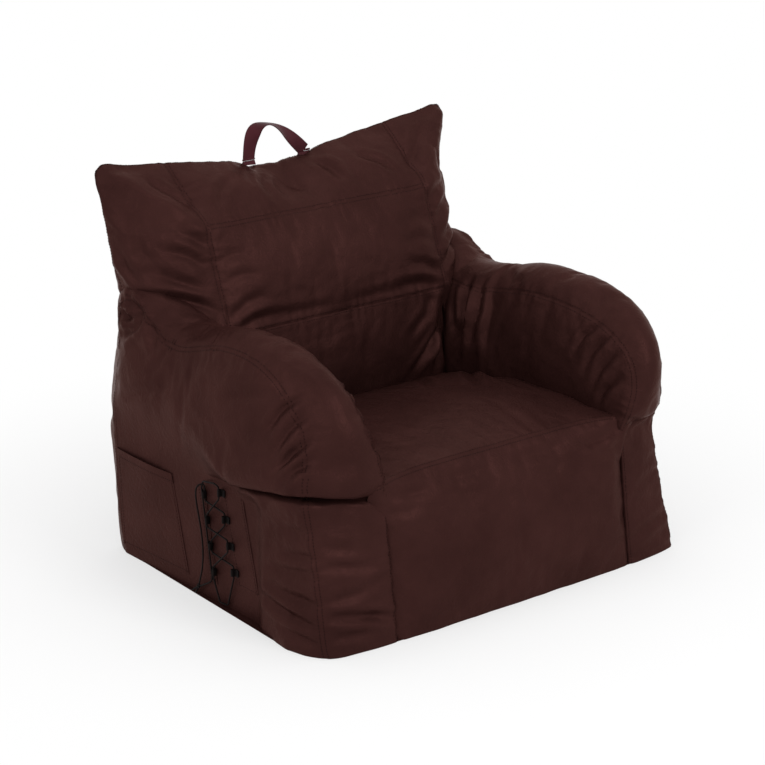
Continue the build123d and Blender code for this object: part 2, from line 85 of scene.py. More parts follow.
# Seat and back
SEAT_Z = 0.287
SEAT_EDGE = (0.034, SEAT_Z)      # seam between the front and the seat, as (back, height)
SEAT_WIDER = 0.030     # how much further the seat reaches than the front, under the arms
SEAT_SINK = 0.012      # how far the seat drops at its sides
LUMBAR_Z = 0.431
PANEL_HALF = 0.263
PANEL_TOP_Z = 0.625
LUMBAR_FOOT = (0.496, 0.235)     # seams of the back panels, as (back, height)
PANEL_FOOT = (0.492, LUMBAR_Z)
PANEL_HEAD = (0.562, PANEL_TOP_Z)
WING_ROOT = (0.640, 0.470)
TOP_MID_Z = 0.696
TOP_TILT = 0.012
CORNER_Z = 0.756
CORNER_X = 0.427
TOP_BACK = 0.697
REAR_JOIN_Z = 0.47     # where the rear face widens into the wings
REAR_HALF = 0.285
REAR_TUCK = 0.022      # how far the rear face is drawn in at the roots of the wings
SKIRT_DROP = 0.06      # allowance that is tucked down into the arms
SKIRT_IN = 0.016

# Zip, side patches and cloth
ZIP_Z = 0.066
ZIP_HALF = 0.260
ZIP_SLOT = 0.009
SIDE_X = 0.430         # plane of the right side, which carries the pocket and the lacing
SIDE_FLAT = 0.4296     # the cloth behind the patches
CLOTH_THICKNESS = 0.0016
BASE_Z = 0.0016        # the base panel, and its rim
BASE_RIM_Z = 0.0022
BASE_THICKNESS = 0.0012
CRUMPLE_SEED = 1795643415  # fixed, since the noise is otherwise seeded from the clock

noise.seed_set(CRUMPLE_SEED)


def at(x, back, z):
    """A point given by its side, its distance back from the front seams and its height."""
    return np.array((x, FRONT + back, z))


def bezier(a, b, c, d, count):
    """Points along a cubic curve in a side view, ends included."""
    t = np.linspace(0, 1, count)[:, None]
    a, b, c, d = (np.array(p, float) for p in (a, b, c, d))
    return a * (1 - t) ** 3 + 3 * b * t * (1 - t) ** 2 + 3 * c * t**2 * (1 - t) + d * t**3


def even(points, count):
    """The same line with evenly spaced points."""
    points = np.asarray(points, float)
    steps = np.r_[0, np.cumsum(np.linalg.norm(np.diff(points, axis=0), axis=1))]
    wanted = np.linspace(0, steps[-1], count)
    return np.stack([np.interp(wanted, steps, points[:, k]) for k in range(points.shape[1])], axis=1)


def coons(bottom, top, left, right):
    """A grid inside four edge lines; the lines share their corners."""
    u = np.linspace(0, 1, len(bottom))[:, None, None]
    v = np.linspace(0, 1, len(left))[None, :, None]
    ruled_v = (1 - v) * bottom[:, None, :] + v * top[:, None, :]
    ruled_u = (1 - u) * left[None, :, :] + u * right[None, :, :]
    corners = (
        (1 - u) * (1 - v) * bottom[0] + u * (1 - v) * bottom[-1] + (1 - u) * v * top[0] + u * v * top[-1]
    )
    return ruled_u + ruled_v - corners


def ease(values, start, end):
    """A soft step from 0 at start to 1 at end."""
    share = np.clip((values - start) / (end - start), 0, 1)
    return share * share * (3 - 2 * share)


def new_object(name, data):
    """A new object in the scene, with the data it shows."""
    obj = bpy.data.objects.new(name, data)
    bpy.context.collection.objects.link(obj)
    return obj


def new_mesh(name, points, faces, material):
    mesh = bpy.data.meshes.new(name)
    mesh.from_pydata(points, [], faces)
    mesh.materials.append(material)
    return new_object(name, mesh)


def activate(obj):
    """Select one object alone."""
    for other in bpy.context.selected_objects:
        other.select_set(False)
    obj.select_set(True)
    bpy.context.view_layer.objects.active = obj


class Cloth:
    """Grids of cloth that are sewn together where their edge points coincide."""

    def __init__(self):
        self.points = []
        self.keys = {}
        self.faces = []
        self.panels = []
        self.names = []
        self.pins = {}
        self.lines = {}
        self.cuts = {}

    def vertex(self, point):
        key = tuple(np.round(point, 5))
        if key not in self.keys:
            self.keys[key] = len(self.points)
            self.points.append(tuple(float(c) for c in point))
        return self.keys[key]

    def cut(self, name, grid):
        """Keep the size that a panel is cut to: its width, its length and its area."""
        across, down = np.diff(grid, axis=1), np.diff(grid, axis=0)
        width = np.linalg.norm(across, axis=2).sum(axis=1).max()
        length = np.linalg.norm(down, axis=2).sum(axis=0).max()
        area = np.linalg.norm(np.cross(across[:-1], down[:, :-1]), axis=2).sum()
        before = self.cuts.get(name, (0, 0, 0))
        self.cuts[name] = (max(before[0], width), before[1] + length, before[2] + area)

    def add(self, name, grid, flip=False, gap=None):
        """Sew a grid in as a panel; gap is a row and two columns between which it is left open."""
        ids = np.array([[self.vertex(p) for p in row] for row in grid])
        self.cut(name, grid)
        if name not in self.names:
            self.names.append(name)
        panel = self.names.index(name)
        for i in range(ids.shape[0] - 1):
            for j in range(ids.shape[1] - 1):
                if gap and i == gap[0] and gap[1] <= j < gap[2]:
                    continue
                quad = [ids[i, j], ids[i + 1, j], ids[i + 1, j + 1], ids[i, j + 1]]
                quad = list(dict.fromkeys(quad))
                if len(quad) > 2:
                    self.faces.append(quad[::-1] if flip else quad)
                    self.panels.append(panel)
        return ids

    def pin(self, ids, weight=1.0):
        for index in np.ravel(ids):
            self.pins[int(index)] = max(weight, self.pins.get(int(index), 0))

    def line(self, name, ids):
        """Remember a seam by the points along it, and hold it while the cloth is filled."""
        self.lines[name] = [int(index) for index in ids]
        self.pin(ids)

    def build(self, name):
        mesh = bpy.data.meshes.new(name)
        mesh.from_pydata(self.points, [], self.faces)
        mesh.polygons.foreach_set("material_index", self.panels)
        for panel in self.names:
            mesh.materials.append(bpy.data.materials.new(f"panel_{panel}"))
        obj = new_object(name, mesh)
        group = obj.vertex_groups.new(name="sewn")
        for index, weight in self.pins.items():
            group.add([index], weight, "REPLACE")
        return obj


def cells(length):
    """How many points a grid has along a length."""
    return max(4, round(length / CELL)) + 1


# Arm bolsters
def arm_seam(side, outer):
    """One seam of an arm seen from the side as front, top and rear lines, in (back, height)."""
    lift, hunch = ARM_TOP + ARM_LIFT[side], SHOULDER_LIFT[side]
    if outer:
        foot, shin, fold = (-0.014, 0), (0.020, 0.18), (0.036, FOLD_Z)
        chin, brow, crest = (0.062, 0.36), (0.090, lift + 0.014), (0.26, lift + 0.014)
        slope, dip, shoulder = (0.40, lift + 0.014), (0.44, 0.40), (0.560, 0.480 + hunch)
        neck, nape, heel = (0.638, 0.520 + hunch), (0.642, 0.43 + hunch), (0.629, 0)
    else:
        foot, shin, fold = (-0.030, 0), (-0.004, 0.18), (0.006, FOLD_Z)
        chin, brow, crest = (0.004, 0.36), (0.060, lift), (0.24, lift)
        slope, dip, shoulder = (0.38, lift), (0.43, 0.40), (0.600, 0.484 + hunch)
        neck, nape, heel = (0.720, 0.520 + hunch), (0.733, 0.43 + hunch), (0.657, 0)
    chin = (chin[0] - ARM_FORWARD[side], chin[1])
    brow = (brow[0] - 1.6 * ARM_FORWARD[side], brow[1])
    shank = bezier(foot, (foot[0] + 0.014, 0.08), shin, fold, 40)
    nose = bezier(fold, chin, brow, crest, 60)
    saddle = bezier(crest, slope, dip, shoulder, 50)
    back_neck = bezier(shoulder, (shoulder[0] + 0.04, shoulder[1] + 0.022), neck, nape, 24)
    calf = bezier(nape, (nape[0], 0.30), (heel[0] + 0.006, 0.2), heel, 40)
    corner = 30  # the front line ends half-way round the nose
    front = np.vstack([shank, nose[1 : corner + 1]])
    top = np.vstack([nose[corner:], saddle[1:], back_neck[1:]])
    rows_front, rows_top = cells(FRONT_RUN), cells(TOP_RUN)
    return np.vstack([even(front, rows_front), even(top, rows_top)[1:], even(calf, rows_front)[1:]])


def arm_bolster(side):
    """One arm: an inner and an outer panel joined by a band over the front, the top and the rear."""
    name = "left" if side > 0 else "right"
    rows_front, rows_top = cells(FRONT_RUN), cells(TOP_RUN)
    inner, outer = arm_seam(side, False), arm_seam(side, True)
    middle = (inner + outer) / 2
    height = middle[:, 1]
    rise = ease(height, FOLD_Z, FOLD_Z + 0.14)
    over_back = np.arange(len(middle)) > rows_front + rows_top // 2
    inner_x = SEAM_IN + (SEAM_IN_TOP - SEAM_IN) * rise * np.where(over_back, 0.3, 1)
    spread = np.interp(height, SPREAD_HEIGHTS, ARM_SPREAD[side])
    spread = np.where(over_back, ARM_SPREAD[-1][0], spread)
    outer_x = SEAM_OUT + (SEAM_OUT_TOP - SEAM_OUT) * rise + spread
    run = np.gradient(middle, axis=0)
    normal = np.stack([-run[:, 1], run[:, 0]], axis=1)
    normal /= np.linalg.norm(normal, axis=1)[:, None]
    at_fold = np.exp(-(((height - FOLD_Z) / 0.03) ** 2)) * (middle[:, 0] < 0.2)
    crown = (SHANK_CROWN + (BAND_CROWN - SHANK_CROWN) * rise) * (1 - 0.8 * at_fold)
    across = np.linspace(0, 1, cells(BAND_RUN))
    grid = np.zeros((len(middle), len(across), 3))
    for j, w in enumerate(across):
        bulge = (crown * math.sin(math.pi * w) ** 0.75)[:, None]
        line = inner + (outer - inner) * w + normal * bulge
        grid[:, j, 0] = side * (inner_x + (outer_x - inner_x) * w)
        grid[:, j, 1] = FRONT + line[:, 0]
        grid[:, j, 2] = line[:, 1]
    front_low = height[:rows_front] < FOLD_Z - 0.02
    cloth = Cloth()
    ids = cloth.add(f"{name}_arm_band", grid, flip=side > 0)
    cloth.line("inner", ids[:, 0])
    cloth.line("outer", ids[:, -1])
    cloth.pin(ids[0])
    cloth.pin(ids[-1])
    cloth.pin(ids[:rows_front][front_low], 0.5)
    for column, panel, flip, swell in (
        (0, "arm_inner_panel", side > 0, -SIDE_CROWN),
        (-1, "side_panel", side < 0, SIDE_CROWN),
    ):
        edge = grid[:, column]
        roof = edge[rows_front - 1 : rows_front + rows_top - 1]
        floor = np.linspace(edge[0], edge[-1], rows_top)
        floor[:, 0] += side * FOOT_BOW * np.sin(np.linspace(0, math.pi, rows_top)) * (swell > 0)
        cap = coons(floor, roof, edge[:rows_front], edge[: -rows_front - 1 : -1])
        u = np.linspace(-1, 1, cap.shape[0])[:, None]
        v = np.linspace(-1, 1, cap.shape[1])[None, :]
        upper = np.clip((cap[:, :, 2] - 0.2) / 0.12, 0.12, 1)
        cap[:, :, 0] += side * swell * upper * (1 - u**4) * (1 - v**4)
        cap_ids = cloth.add(f"{name}_{panel}", cap, flip=flip)
        cloth.pin(cap_ids[:, 0])
        cloth.pin(cap_ids[cap[:, :, 2] < FOLD_Z - 0.03], 0.35)
    return cloth


# Seat
def seat_cloth():
    """The front panel and the seat panel as one strip, sewn at the front edge."""
    seam = arm_seam(1, False)[: cells(FRONT_RUN)]
    front_line = bezier((-0.033, 0), (-0.038, 0.10), (-0.034, 0.22), SEAT_EDGE, 60)
    seat_line = bezier(SEAT_EDGE, (0.16, SEAT_Z + 0.012), (0.34, 0.288), (0.505, 0.250), 60)
    across = np.linspace(-1, 1, cells(0.56))
    at_ends = np.abs(across) ** 6
    cloth = Cloth()
    for name, line in (
        ("front_panel", even(front_line, cells(0.30))),
        ("seat_panel", even(seat_line, cells(0.47))),
    ):
        grid = np.zeros((len(line), len(across), 3))
        for i, (back, z) in enumerate(line):
            half = SEAM_IN + SEAT_WIDER * np.clip((z - 0.20) / 0.06, 0, 1)
            near_seam = 1 if name == "front_panel" else max(0, 1 - i / 6)
            seam_back = np.interp(min(z, SEAT_Z), seam[:, 1], seam[:, 0])
            tuck = near_seam * (seam_back - min(back, SEAT_EDGE[0]))
            grid[i, :, 0] = half * across
            grid[i, :, 1] = FRONT + back + tuck * at_ends
            grid[i, [0, -1], 0] = (-half - 0.007, half + 0.007)
            grid[i, [0, -1], 1] += 0.012
            grid[i, :, 2] = z - SEAT_SINK * at_ends * (1 - near_seam)
        ids = cloth.add(name, grid, flip=True)
        for edge in (ids[:, 0], ids[:, -1], ids[0], ids[-1]):
            cloth.pin(edge)
        if name == "seat_panel":
            cloth.line("front_edge", ids[0])
    return cloth


# Back
def rear_back(z):
    """How far back the rear face stands at a height."""
    heights = (0, 0.125, 0.28, 0.44, 0.56, 0.66, 0.72)
    backs = (0.655, 0.664, 0.706, 0.735, 0.742, 0.728, 0.700)
    return np.interp(z, heights, backs)


def top_height(x):
    """Height of the top edge across the back, lowest in the middle."""
    return TOP_MID_Z + (CORNER_Z - TOP_MID_Z) * (abs(x) / CORNER_X) ** 1.1 + TOP_TILT * x


def wing_edge(side, share):
    """The wing's outer edge from its root to its corner."""
    root = at(side * WING_ROOT_X[side], *WING_ROOT)
    corner = at(side * CORNER_X, TOP_BACK, top_height(side * CORNER_X))
    place = root + (corner - root) * share
    place[0] = root[0] + (corner[0] - root[0]) * share ** WING_FLARE[side]
    return place


def skirt(edge, inward):
    """The allowance below an edge of the back that is tucked down into the arms."""
    return np.stack([edge + (0, share * inward, -share * SKIRT_DROP) for share in (1, 0.5, 0)])


def back_panels(columns):
    """The lumbar, centre and top panels between their seams, puffed forward and up."""
    x = np.linspace(-PANEL_HALF, PANEL_HALF, columns)
    fullness = 1 - np.linspace(-1, 1, columns) ** 4

    def panel(length, foot, head, puff):
        v = np.linspace(0, 1, cells(length))[:, None]
        forward, up = (share * fullness * np.sin(math.pi * v) for share in puff)
        back = foot[0] + (head[0] - foot[0]) * v - forward
        z = foot[1] + (head[1] - foot[1]) * v + up
        return np.stack(np.broadcast_arrays(x, FRONT + back, z), axis=2)

    lumbar = panel(0.19, LUMBAR_FOOT, PANEL_FOOT, (0.008, 0))
    centre = panel(0.21, PANEL_FOOT, PANEL_HEAD, (0.012, 0.0036))
    top = panel(0.16, PANEL_HEAD, (TOP_BACK, top_height(x)), (0.0036, 0.012))
    return lumbar, centre, top


def wing_grid(side, seam, columns):
    """A wing, rounded over from its seam with the panels to its outer edge."""
    wing = np.zeros((len(seam), columns, 3))
    for i, start in enumerate(seam):
        end = wing_edge(side, i / (len(seam) - 1))
        reach, depth, rise = np.abs(end[0] - start[0]), max(end[1] - start[1], 0), end[2] - start[2]
        first = start + (side * reach * 0.62, 0.06 * depth, 0.35 * rise)
        second = end + (side * 0.006, -0.58 * depth, -0.1 * rise)
        wing[i] = even(bezier(start, first, second, end, 40), columns)
    return wing


def rear_grid(right, left, top):
    """The upper rear face, from the outer edge of one wing to that of the other."""
    rows, wing_columns = left.shape[:2]
    top_line = np.vstack([right[-1, :0:-1], top[-1], left[-1, 1:]])
    grid = np.zeros((rows, len(top_line), 3))
    for i in range(rows):
        share = i / (rows - 1)
        low, high = right[i, -1], left[i, -1]
        x = np.r_[
            np.linspace(low[0], -REAR_HALF, wing_columns)[:-1],
            np.linspace(-REAR_HALF, REAR_HALF, top.shape[1]),
            np.linspace(REAR_HALF, high[0], wing_columns)[1:],
        ]
        x = x * (1 - share**3) + top_line[:, 0] * share**3
        outward = np.clip((np.abs(x) - REAR_HALF) / (abs(low[0]) - REAR_HALF), 0, 1)
        edge_rise = low[2] - (REAR_JOIN_Z + (top_height(low[0]) - REAR_JOIN_Z) * share)
        z = REAR_JOIN_Z + (top_height(x) - REAR_JOIN_Z) * share + edge_rise * outward
        back = rear_back(z) + (low[1] - FRONT - rear_back(low[2])) * outward**2
        back -= REAR_TUCK * max(0, 1 - share / 0.14) * np.minimum(1, 5 * outward)
        grid[i] = np.stack([x, FRONT + back, z], axis=1)
    grid[-1] = top_line
    grid[:, 0] = right[:, -1]
    grid[:, -1] = left[:, -1]
    return grid


def back_cloth():
    """The back: three panels, a wing on both sides, and a rear panel with a slot for the zip."""
    cloth = Cloth()
    panel_columns, wing_columns = cells(2 * PANEL_HALF), cells(0.22)
    lumbar, centre, top = back_panels(panel_columns)
    ids_lumbar = cloth.add("lumbar_panel", lumbar, flip=True)
    ids_centre = cloth.add("back_centre_panel", centre, flip=True)
    ids_top = cloth.add("back_top_panel", top, flip=True)
    for edge in (ids_lumbar[0], ids_lumbar[:, 0], ids_lumbar[:, -1]):
        cloth.pin(edge)
    cloth.line("panel_foot", ids_centre[0])
    cloth.line("panel_head", ids_centre[-1])
    cloth.line("panel_right", np.r_[ids_centre[:, 0], ids_top[1:, 0]])
    cloth.line("panel_left", np.r_[ids_centre[:, -1], ids_top[1:, -1]])

    wings = {}
    for side, column, name in ((-1, 0, "right"), (1, -1, "left")):
        wing = wing_grid(side, np.vstack([centre[:, column], top[1:, column]]), wing_columns)
        ids = cloth.add(f"{name}_wing_panel", wing, flip=side > 0)
        cloth.pin(ids[0])
        cloth.pin(cloth.add(f"{name}_wing_panel", skirt(wing[0], SKIRT_IN), flip=side > 0))
        cloth.line(f"{name}_wing_edge", ids[:, -1])
        wings[side] = wing

    upper = rear_grid(wings[-1], wings[1], top)
    ids = cloth.add("rear_panel", upper)
    cloth.line("top_edge", ids[-1])
    for foot in (upper[0, :wing_columns], upper[0, -wing_columns:]):
        cloth.pin(cloth.add("rear_panel", skirt(foot, -SKIRT_IN)))
    base = upper[0, wing_columns - 1 : wing_columns - 1 + panel_columns]
    rows, slot_row = cells(0.47), cells(ZIP_Z)
    heights = np.r_[
        np.linspace(0, ZIP_Z - ZIP_SLOT / 2, slot_row),
        np.linspace(ZIP_Z + ZIP_SLOT / 2, REAR_JOIN_Z, rows - slot_row),
    ][:, None]
    lower = np.stack(np.broadcast_arrays(base[:, 0], FRONT + rear_back(heights), heights), axis=2)
    lower[-1] = base
    in_slot = np.flatnonzero(np.abs(base[:, 0]) < ZIP_HALF)
    ids = cloth.add("rear_panel", lower, gap=(slot_row - 1, in_slot[0], in_slot[-1]))
    cloth.pin(ids[0])
    cloth.pin(ids[slot_row - 3 : slot_row + 3])
    cloth.line("rear_right", ids[:, 0])
    cloth.line("rear_left", ids[:, -1])
    return cloth


def inflate(obj, pressure, extra, frames, cap):
    """Let the filling press the cloth out between its seams, then keep the result."""
    rest = np.array([v.co[:] for v in obj.data.vertices])
    cloth = obj.modifiers.new("fill", "CLOTH")
    settings = cloth.settings
    settings.quality = 6
    settings.mass = 0.25
    settings.tension_stiffness = 14
    settings.compression_stiffness = 14
    settings.shear_stiffness = 6
    settings.bending_stiffness = 0.25
    settings.use_pressure = True
    settings.uniform_pressure_force = pressure
    settings.vertex_group_mass = "sewn"
    settings.pin_stiffness = 4
    settings.shrink_min = -extra
    settings.effector_weights.gravity = 0
    cloth.collision_settings.use_collision = False
    cloth.point_cache.frame_end = frames
    scene = bpy.context.scene
    for number in range(1, frames + 1):
        scene.frame_set(number)
    ready = obj.evaluated_get(bpy.context.evaluated_depsgraph_get())
    moved = np.array([v.co[:] for v in ready.data.vertices]) - rest
    obj.modifiers.remove(cloth)
    scene.frame_set(1)
    length = np.linalg.norm(moved, axis=1)
    kept = np.where(length > 0, np.tanh(length / cap) * cap / np.maximum(length, 1e-9), 1)
    rest += moved * kept[:, None]
    set_points(obj, rest)


def smooth_once(obj):
    """One subdivision, applied."""
    activate(obj)
    modifier = obj.modifiers.new("finer", "SUBSURF")
    modifier.levels = 1
    modifier.render_levels = 1
    bpy.ops.object.modifier_apply(modifier=modifier.name)
    bpy.ops.object.shade_smooth()


# Folds, puckers and crumples, worked into the simulated cloth
def line_distance(points, line):
    """For each point the distance to a line of points and the length along it of the nearest place."""
    nearest = np.full(len(points), 1e9)
    along = np.zeros(len(points))
    passed = 0.0
    for a, b in zip(line, line[1:]):
        run = b - a
        length = float(np.linalg.norm(run))
        share = np.clip((points - a) @ run / length**2, 0, 1)
        away = np.linalg.norm(points - a - share[:, None] * run, axis=1)
        closer = away < nearest
        nearest[closer] = away[closer]
        along[closer] = passed + share[closer] * length
        passed += length
    return nearest, along, passed


def on_surface(surface, line):
    """The same line, moved on to the cloth that lies nearest to it."""
    points, normals = surface
    laid = []
    for place in line:
        nearest = int(np.argmin(((points - place) ** 2).sum(axis=1)))
        laid.append(place + normals[nearest] * ((points[nearest] - place) @ normals[nearest]))
    return np.array(laid)


def crease(surface, line, depth, width, lip=0.55):
    """A fold along a line: a valley with a raised lip on both sides, fading out at the ends."""
    line = on_surface(surface, even(np.array(line), 24))
    away, along, length = line_distance(surface[0], line)
    fade = np.sin(np.pi * np.clip(along / length, 0.02, 0.98)) ** 0.6
    valley = np.exp(-((away / width) ** 1.4))
    ridge = np.exp(-(((away - 2.1 * width) / width) ** 2))
    return depth * fade * (lip * ridge - valley)


def pucker(points, line, height, reach, pitch):
    """Small gathers across a seam, strongest beside it."""
    away, along, length = line_distance(points, np.asarray(line))
    phase = 2 * np.pi * along / pitch
    wave = np.sin(phase + 1.9 * np.sin(phase * 0.31)) * (0.6 + 0.4 * np.sin(phase * 0.17 + 1))
    return height * wave * np.exp(-away / reach) * np.tanh(away / 0.004)


def crumple(points, height, size, seed):
    """Irregular sharp-edged dents of thin coated cloth, longer sideways than upwards."""
    offsets = np.zeros(len(points))
    for k, point in enumerate(points):
        place = Vector((point[0] / size, point[1] / size, point[2] * 1.5 / size + seed))
        bent = place + noise.noise_vector(place * 0.6) * 0.7
        offsets[k] = 0.35 - abs(noise.noise(bent))
    return height * offsets


def vertex_arrays(obj):
    count = len(obj.data.vertices)
    points = np.empty(count * 3)
    normals = np.empty(count * 3)
    obj.data.vertices.foreach_get("co", points)
    obj.data.vertices.foreach_get("normal", normals)
    return points.reshape(-1, 3), normals.reshape(-1, 3)


def set_points(obj, points):
    obj.data.vertices.foreach_set("co", points.ravel())
    obj.data.update()


def under_roll(side):
    """The line of the deep fold under the roll of an arm, from the seat round to where it runs out."""
    route = [
        at(side * 0.270, 0.006, 0.258), at(side * 0.340, 0.004, 0.270), at(side * 0.425, 0.036, 0.284),
        at(side * 0.440, 0.140, 0.272), at(side * 0.440, 0.270, 0.250), at(side * 0.436, 0.385, 0.232),
    ]
    return even(np.array(route), 60)


def roll_share(side, points):
    """For each point its height over the deep fold, and how strongly the fold acts there."""
    line = under_roll(side)
    away, along, length = line_distance(points, line)
    over = points[:, 2] - np.interp(along, np.linspace(0, length, len(line)), line[:, 2])
    share = np.clip((length - along) / 0.10, 0, 1) * np.clip((along - 0.015) / 0.07, 0, 1) * (away < 0.12)
    return over, share


def hang_roll(side, points):
    """Let the roll of an arm hang over its deep fold."""
    over, share = roll_share(side, points)
    points[:, 2] -= 0.010 * share * np.exp(-(((over - 0.016) / 0.014) ** 2))


def creases(surface, side, folds, width):
    """Creases on one side of the chair; a fold is its depth and the (side, back, height) along its line."""
    offsets = np.zeros(len(surface[0]))
    for depth, *line in folds:
        offsets += crease(surface, [at(side * x, back, z) for x, back, z in line], depth, width)
    return offsets


def metres(table):
    """A table of folds in millimetres, turned into metres."""
    return np.array(table) / 1000


SHOULDER_TUCK = np.array((0.430, 0.548, 0.490))  # as (side, back, height)

# Folds of an arm in millimetres: places, reaches and slopes as arm_folds reads them, and depths
BEHIND_TUCK = ((618, 530, 7), (636, 506, 9), (642, 474, 9), (615, 436, 7))
BEFORE_TUCK = ((480, 470, 6), (500, 440, 5))
SIDE_SLACK = (
    (55, 218, 90, 10, 3),
    (40, 176, 120, 12, 5),
    (75, 139, 150, 14, 4),
    (45, 94, 150, 2, 6),
    (85, 61, 190, -8, 7),
    (40, 30, 100, -4, 5),
    (520, 350, 160, 36, 5),
    (200, 430, 130, 20, 4),
    (300, 465, 160, 10, 3),
)
SHANK_SLACK = (
    (392, 196, 70, 10, 3),
    (372, 158, 120, 12, 5),
    (384, 106, 100, -4, 4),
    (362, 66, 140, 14, 6),
    (376, 34, 90, 4, 5),
    (310, 120, 60, -10, 3),
    (312, 52, 70, 10, 4),
)
NOSE_GATHERS = (
    (290, 30, 405, -12, 75),
    (292, 55, 435, -14, 80),
    (288, 18, 360, -10, 70),
    (296, 85, 452, -14, 70),
    (410, 70, 425, 30, 75),
    (412, 95, 450, 32, 70),
    (414, 55, 385, 26, 70),
    (412, 48, 345, 24, 50),
)
INNER_DROPS = ((455, 450, 160, 16), (420, 462, 120, 9), (472, 400, 120, 10))

SLACK = {1: 0.4, -1: 1}  # the share of their depth that the slack folds have on each arm


def arm_folds(side, surface):
    """The folds of one arm: under the roll, at the shoulder tuck, at the nose and in the slack lower side."""
    over, share = roll_share(side, surface[0])
    roll = ROLL_BULGE[side] * np.exp(-(((over - 0.028) / 0.024) ** 2))
    offsets = share * (roll - 0.026 * np.exp(-((over / 0.007) ** 2)))
    rosette, slack, gathers, drops = [], [], [], []
    for back, z, depth in metres(BEHIND_TUCK):
        end = np.array((0.430, back, z))
        start = SHOULDER_TUCK + (end - SHOULDER_TUCK) * 0.12
        rosette.append((depth, start, (start + end) / 2 - (0, 0, 0.006), end))
    for back, z, depth in metres(BEFORE_TUCK):
        slack.append((depth, SHOULDER_TUCK - (0, 0.008, 0.010), (0.440, back, z)))
    for back, z, reach, fall, depth in metres(SIDE_SLACK):
        front, rear = back - reach / 2, back + reach / 2
        line = (0.43, front, z + fall), (0.44, back, z), (0.43, rear, z - fall)
        slack.append((SLACK[side] * depth, *line))
    for x, z, reach, rise, depth in metres(SHANK_SLACK):
        line = (x - reach / 2, -0.02, z - rise), (x, -0.02, z), (x + reach / 2, -0.01, z + rise)
        slack.append((SLACK[side] * depth, *line))
    for x, back, z, spread, fall in metres(NOSE_GATHERS):
        middle = (x + spread / 2, back + 0.030, z - fall / 2)
        gathers.append((0.007, (x, back, z), middle, (x + spread, back + 0.045, z - fall)))
    for back, z, fall, depth in metres(INNER_DROPS):
        middle = (0.280, back - 0.012, z - fall / 2)
        drops.append((depth, (0.285, back, z), middle, (0.280, back - 0.004, z - fall)))
    for folds, width in ((rosette, 0.0075), (slack, 0.0080), (gathers, 0.0065), (drops, 0.009)):
        offsets += creases(surface, side, folds, width)
    return offsets


# Folds of the seat, of the back's front and of its rear face in millimetres: the depth of each, and the
# (side, back, height) of three points along it
SEAT_FOLDS = (
    (6, (278, 10, 262), (235, 4, 254), (185, 0, 258)),
    (5, (280, 0, 236), (240, -6, 232), (205, -10, 240)),
    (3, (160, 10, 270), (100, 4, 262), (30, 6, 264)),
    (7, (285, 440, 270), (230, 380, 285), (180, 300, 292)),
    (5, (285, 400, 270), (250, 310, 285), (235, 210, 292)),
    (5, (180, 480, 262), (150, 420, 280), (110, 350, 290)),
)
BACK_FOLDS = (
    (5, (256, 492, 436), (200, 495, 452), (120, 500, 456)),
    (4, (256, 500, 462), (215, 505, 486), (170, 512, 492)),
    (3, (180, 492, 440), (100, 496, 450), (10, 500, 448)),
    (3, (258, 540, 560), (225, 535, 575), (190, 535, 572)),
    (3, (258, 525, 520), (215, 520, 536), (170, 520, 530)),
    (12, (262, 492, 428), (240, 490, 350), (170, 490, 270)),
    (14, (268, 492, 415), (258, 490, 340), (235, 490, 260)),
    (5, (220, 492, 425), (205, 490, 385), (160, 490, 350)),
    (6, (300, 520, 520), (340, 550, 540), (385, 605, 560)),
    (9, (275, 500, 480), (320, 530, 500), (400, 620, 515)),
    (5, (280, 530, 560), (310, 550, 580), (350, 585, 592)),
    (4, (272, 545, 595), (300, 565, 615), (330, 590, 622)),
    (5, (345, 580, 545), (375, 605, 590), (385, 620, 640)),
    (6, (370, 600, 530), (398, 625, 560), (412, 640, 600)),
    (5, (150, 640, 690), (190, 620, 672), (215, 590, 650)),
    (5, (60, 660, 692), (85, 630, 672), (90, 595, 650)),
    (5, (330, 660, 712), (300, 630, 690), (262, 600, 665)),
)
REAR_FOLDS = (
    (8, (280, 740, 455), (200, 745, 420), (110, 742, 405)),
    (7, (282, 735, 430), (215, 738, 370), (170, 730, 300)),
    (6, (282, 715, 330), (235, 712, 290), (150, 706, 268)),
    (6, (282, 690, 220), (220, 690, 200), (140, 688, 205)),
    (5, (282, 668, 130), (230, 670, 140), (170, 672, 128)),
    (7, (330, 730, 530), (250, 745, 550), (160, 745, 540)),
    (7, (390, 690, 640), (320, 720, 620), (250, 735, 585)),
    (6, (70, 705, 690), (85, 730, 640), (60, 742, 580)),
    (5, (20, 742, 500), (60, 742, 470), (120, 740, 480)),
)

# Ridge from the head of the centre panel to a corner of the back, in metres
MITRE = ((0.250, 0.556, 0.620), (0.335, 0.615, 0.680), (CORNER_X, TOP_BACK, CORNER_Z))


def measured(folds):
    """Folds with their depths and points in metres."""
    return [(depth / 1000, *metres(line)) for depth, *line in folds]


def seat_folds(surface):
    """Slack under the front seam and soft folds that run to the rear corners."""
    return sum(creases(surface, side, measured(SEAT_FOLDS), 0.009) for side in (1, -1))


def back_folds(surface):
    """The mitred ridges to the corners of the back and the slack low on its panels."""
    offsets = np.zeros(len(surface[0]))
    for side in (1, -1):
        ridge = [at(side * x, back, z) for x, back, z in MITRE]
        offsets -= crease(surface, ridge, 0.014, 0.022, lip=0.2)
        offsets += creases(surface, side, measured(BACK_FOLDS), 0.0085)
        offsets += creases(surface, side, measured(REAR_FOLDS), 0.010)
    return offsets


# Materials
def link(tree, source, output, target, socket):
    tree.links.new(source.outputs[output], target.inputs[socket])


def add_node(tree, kind, values):
    """A shader node with constants on its input sockets."""
    node = tree.nodes.new(kind)
    for socket, value in values.items():
        node.inputs[socket].default_value = value
    return node


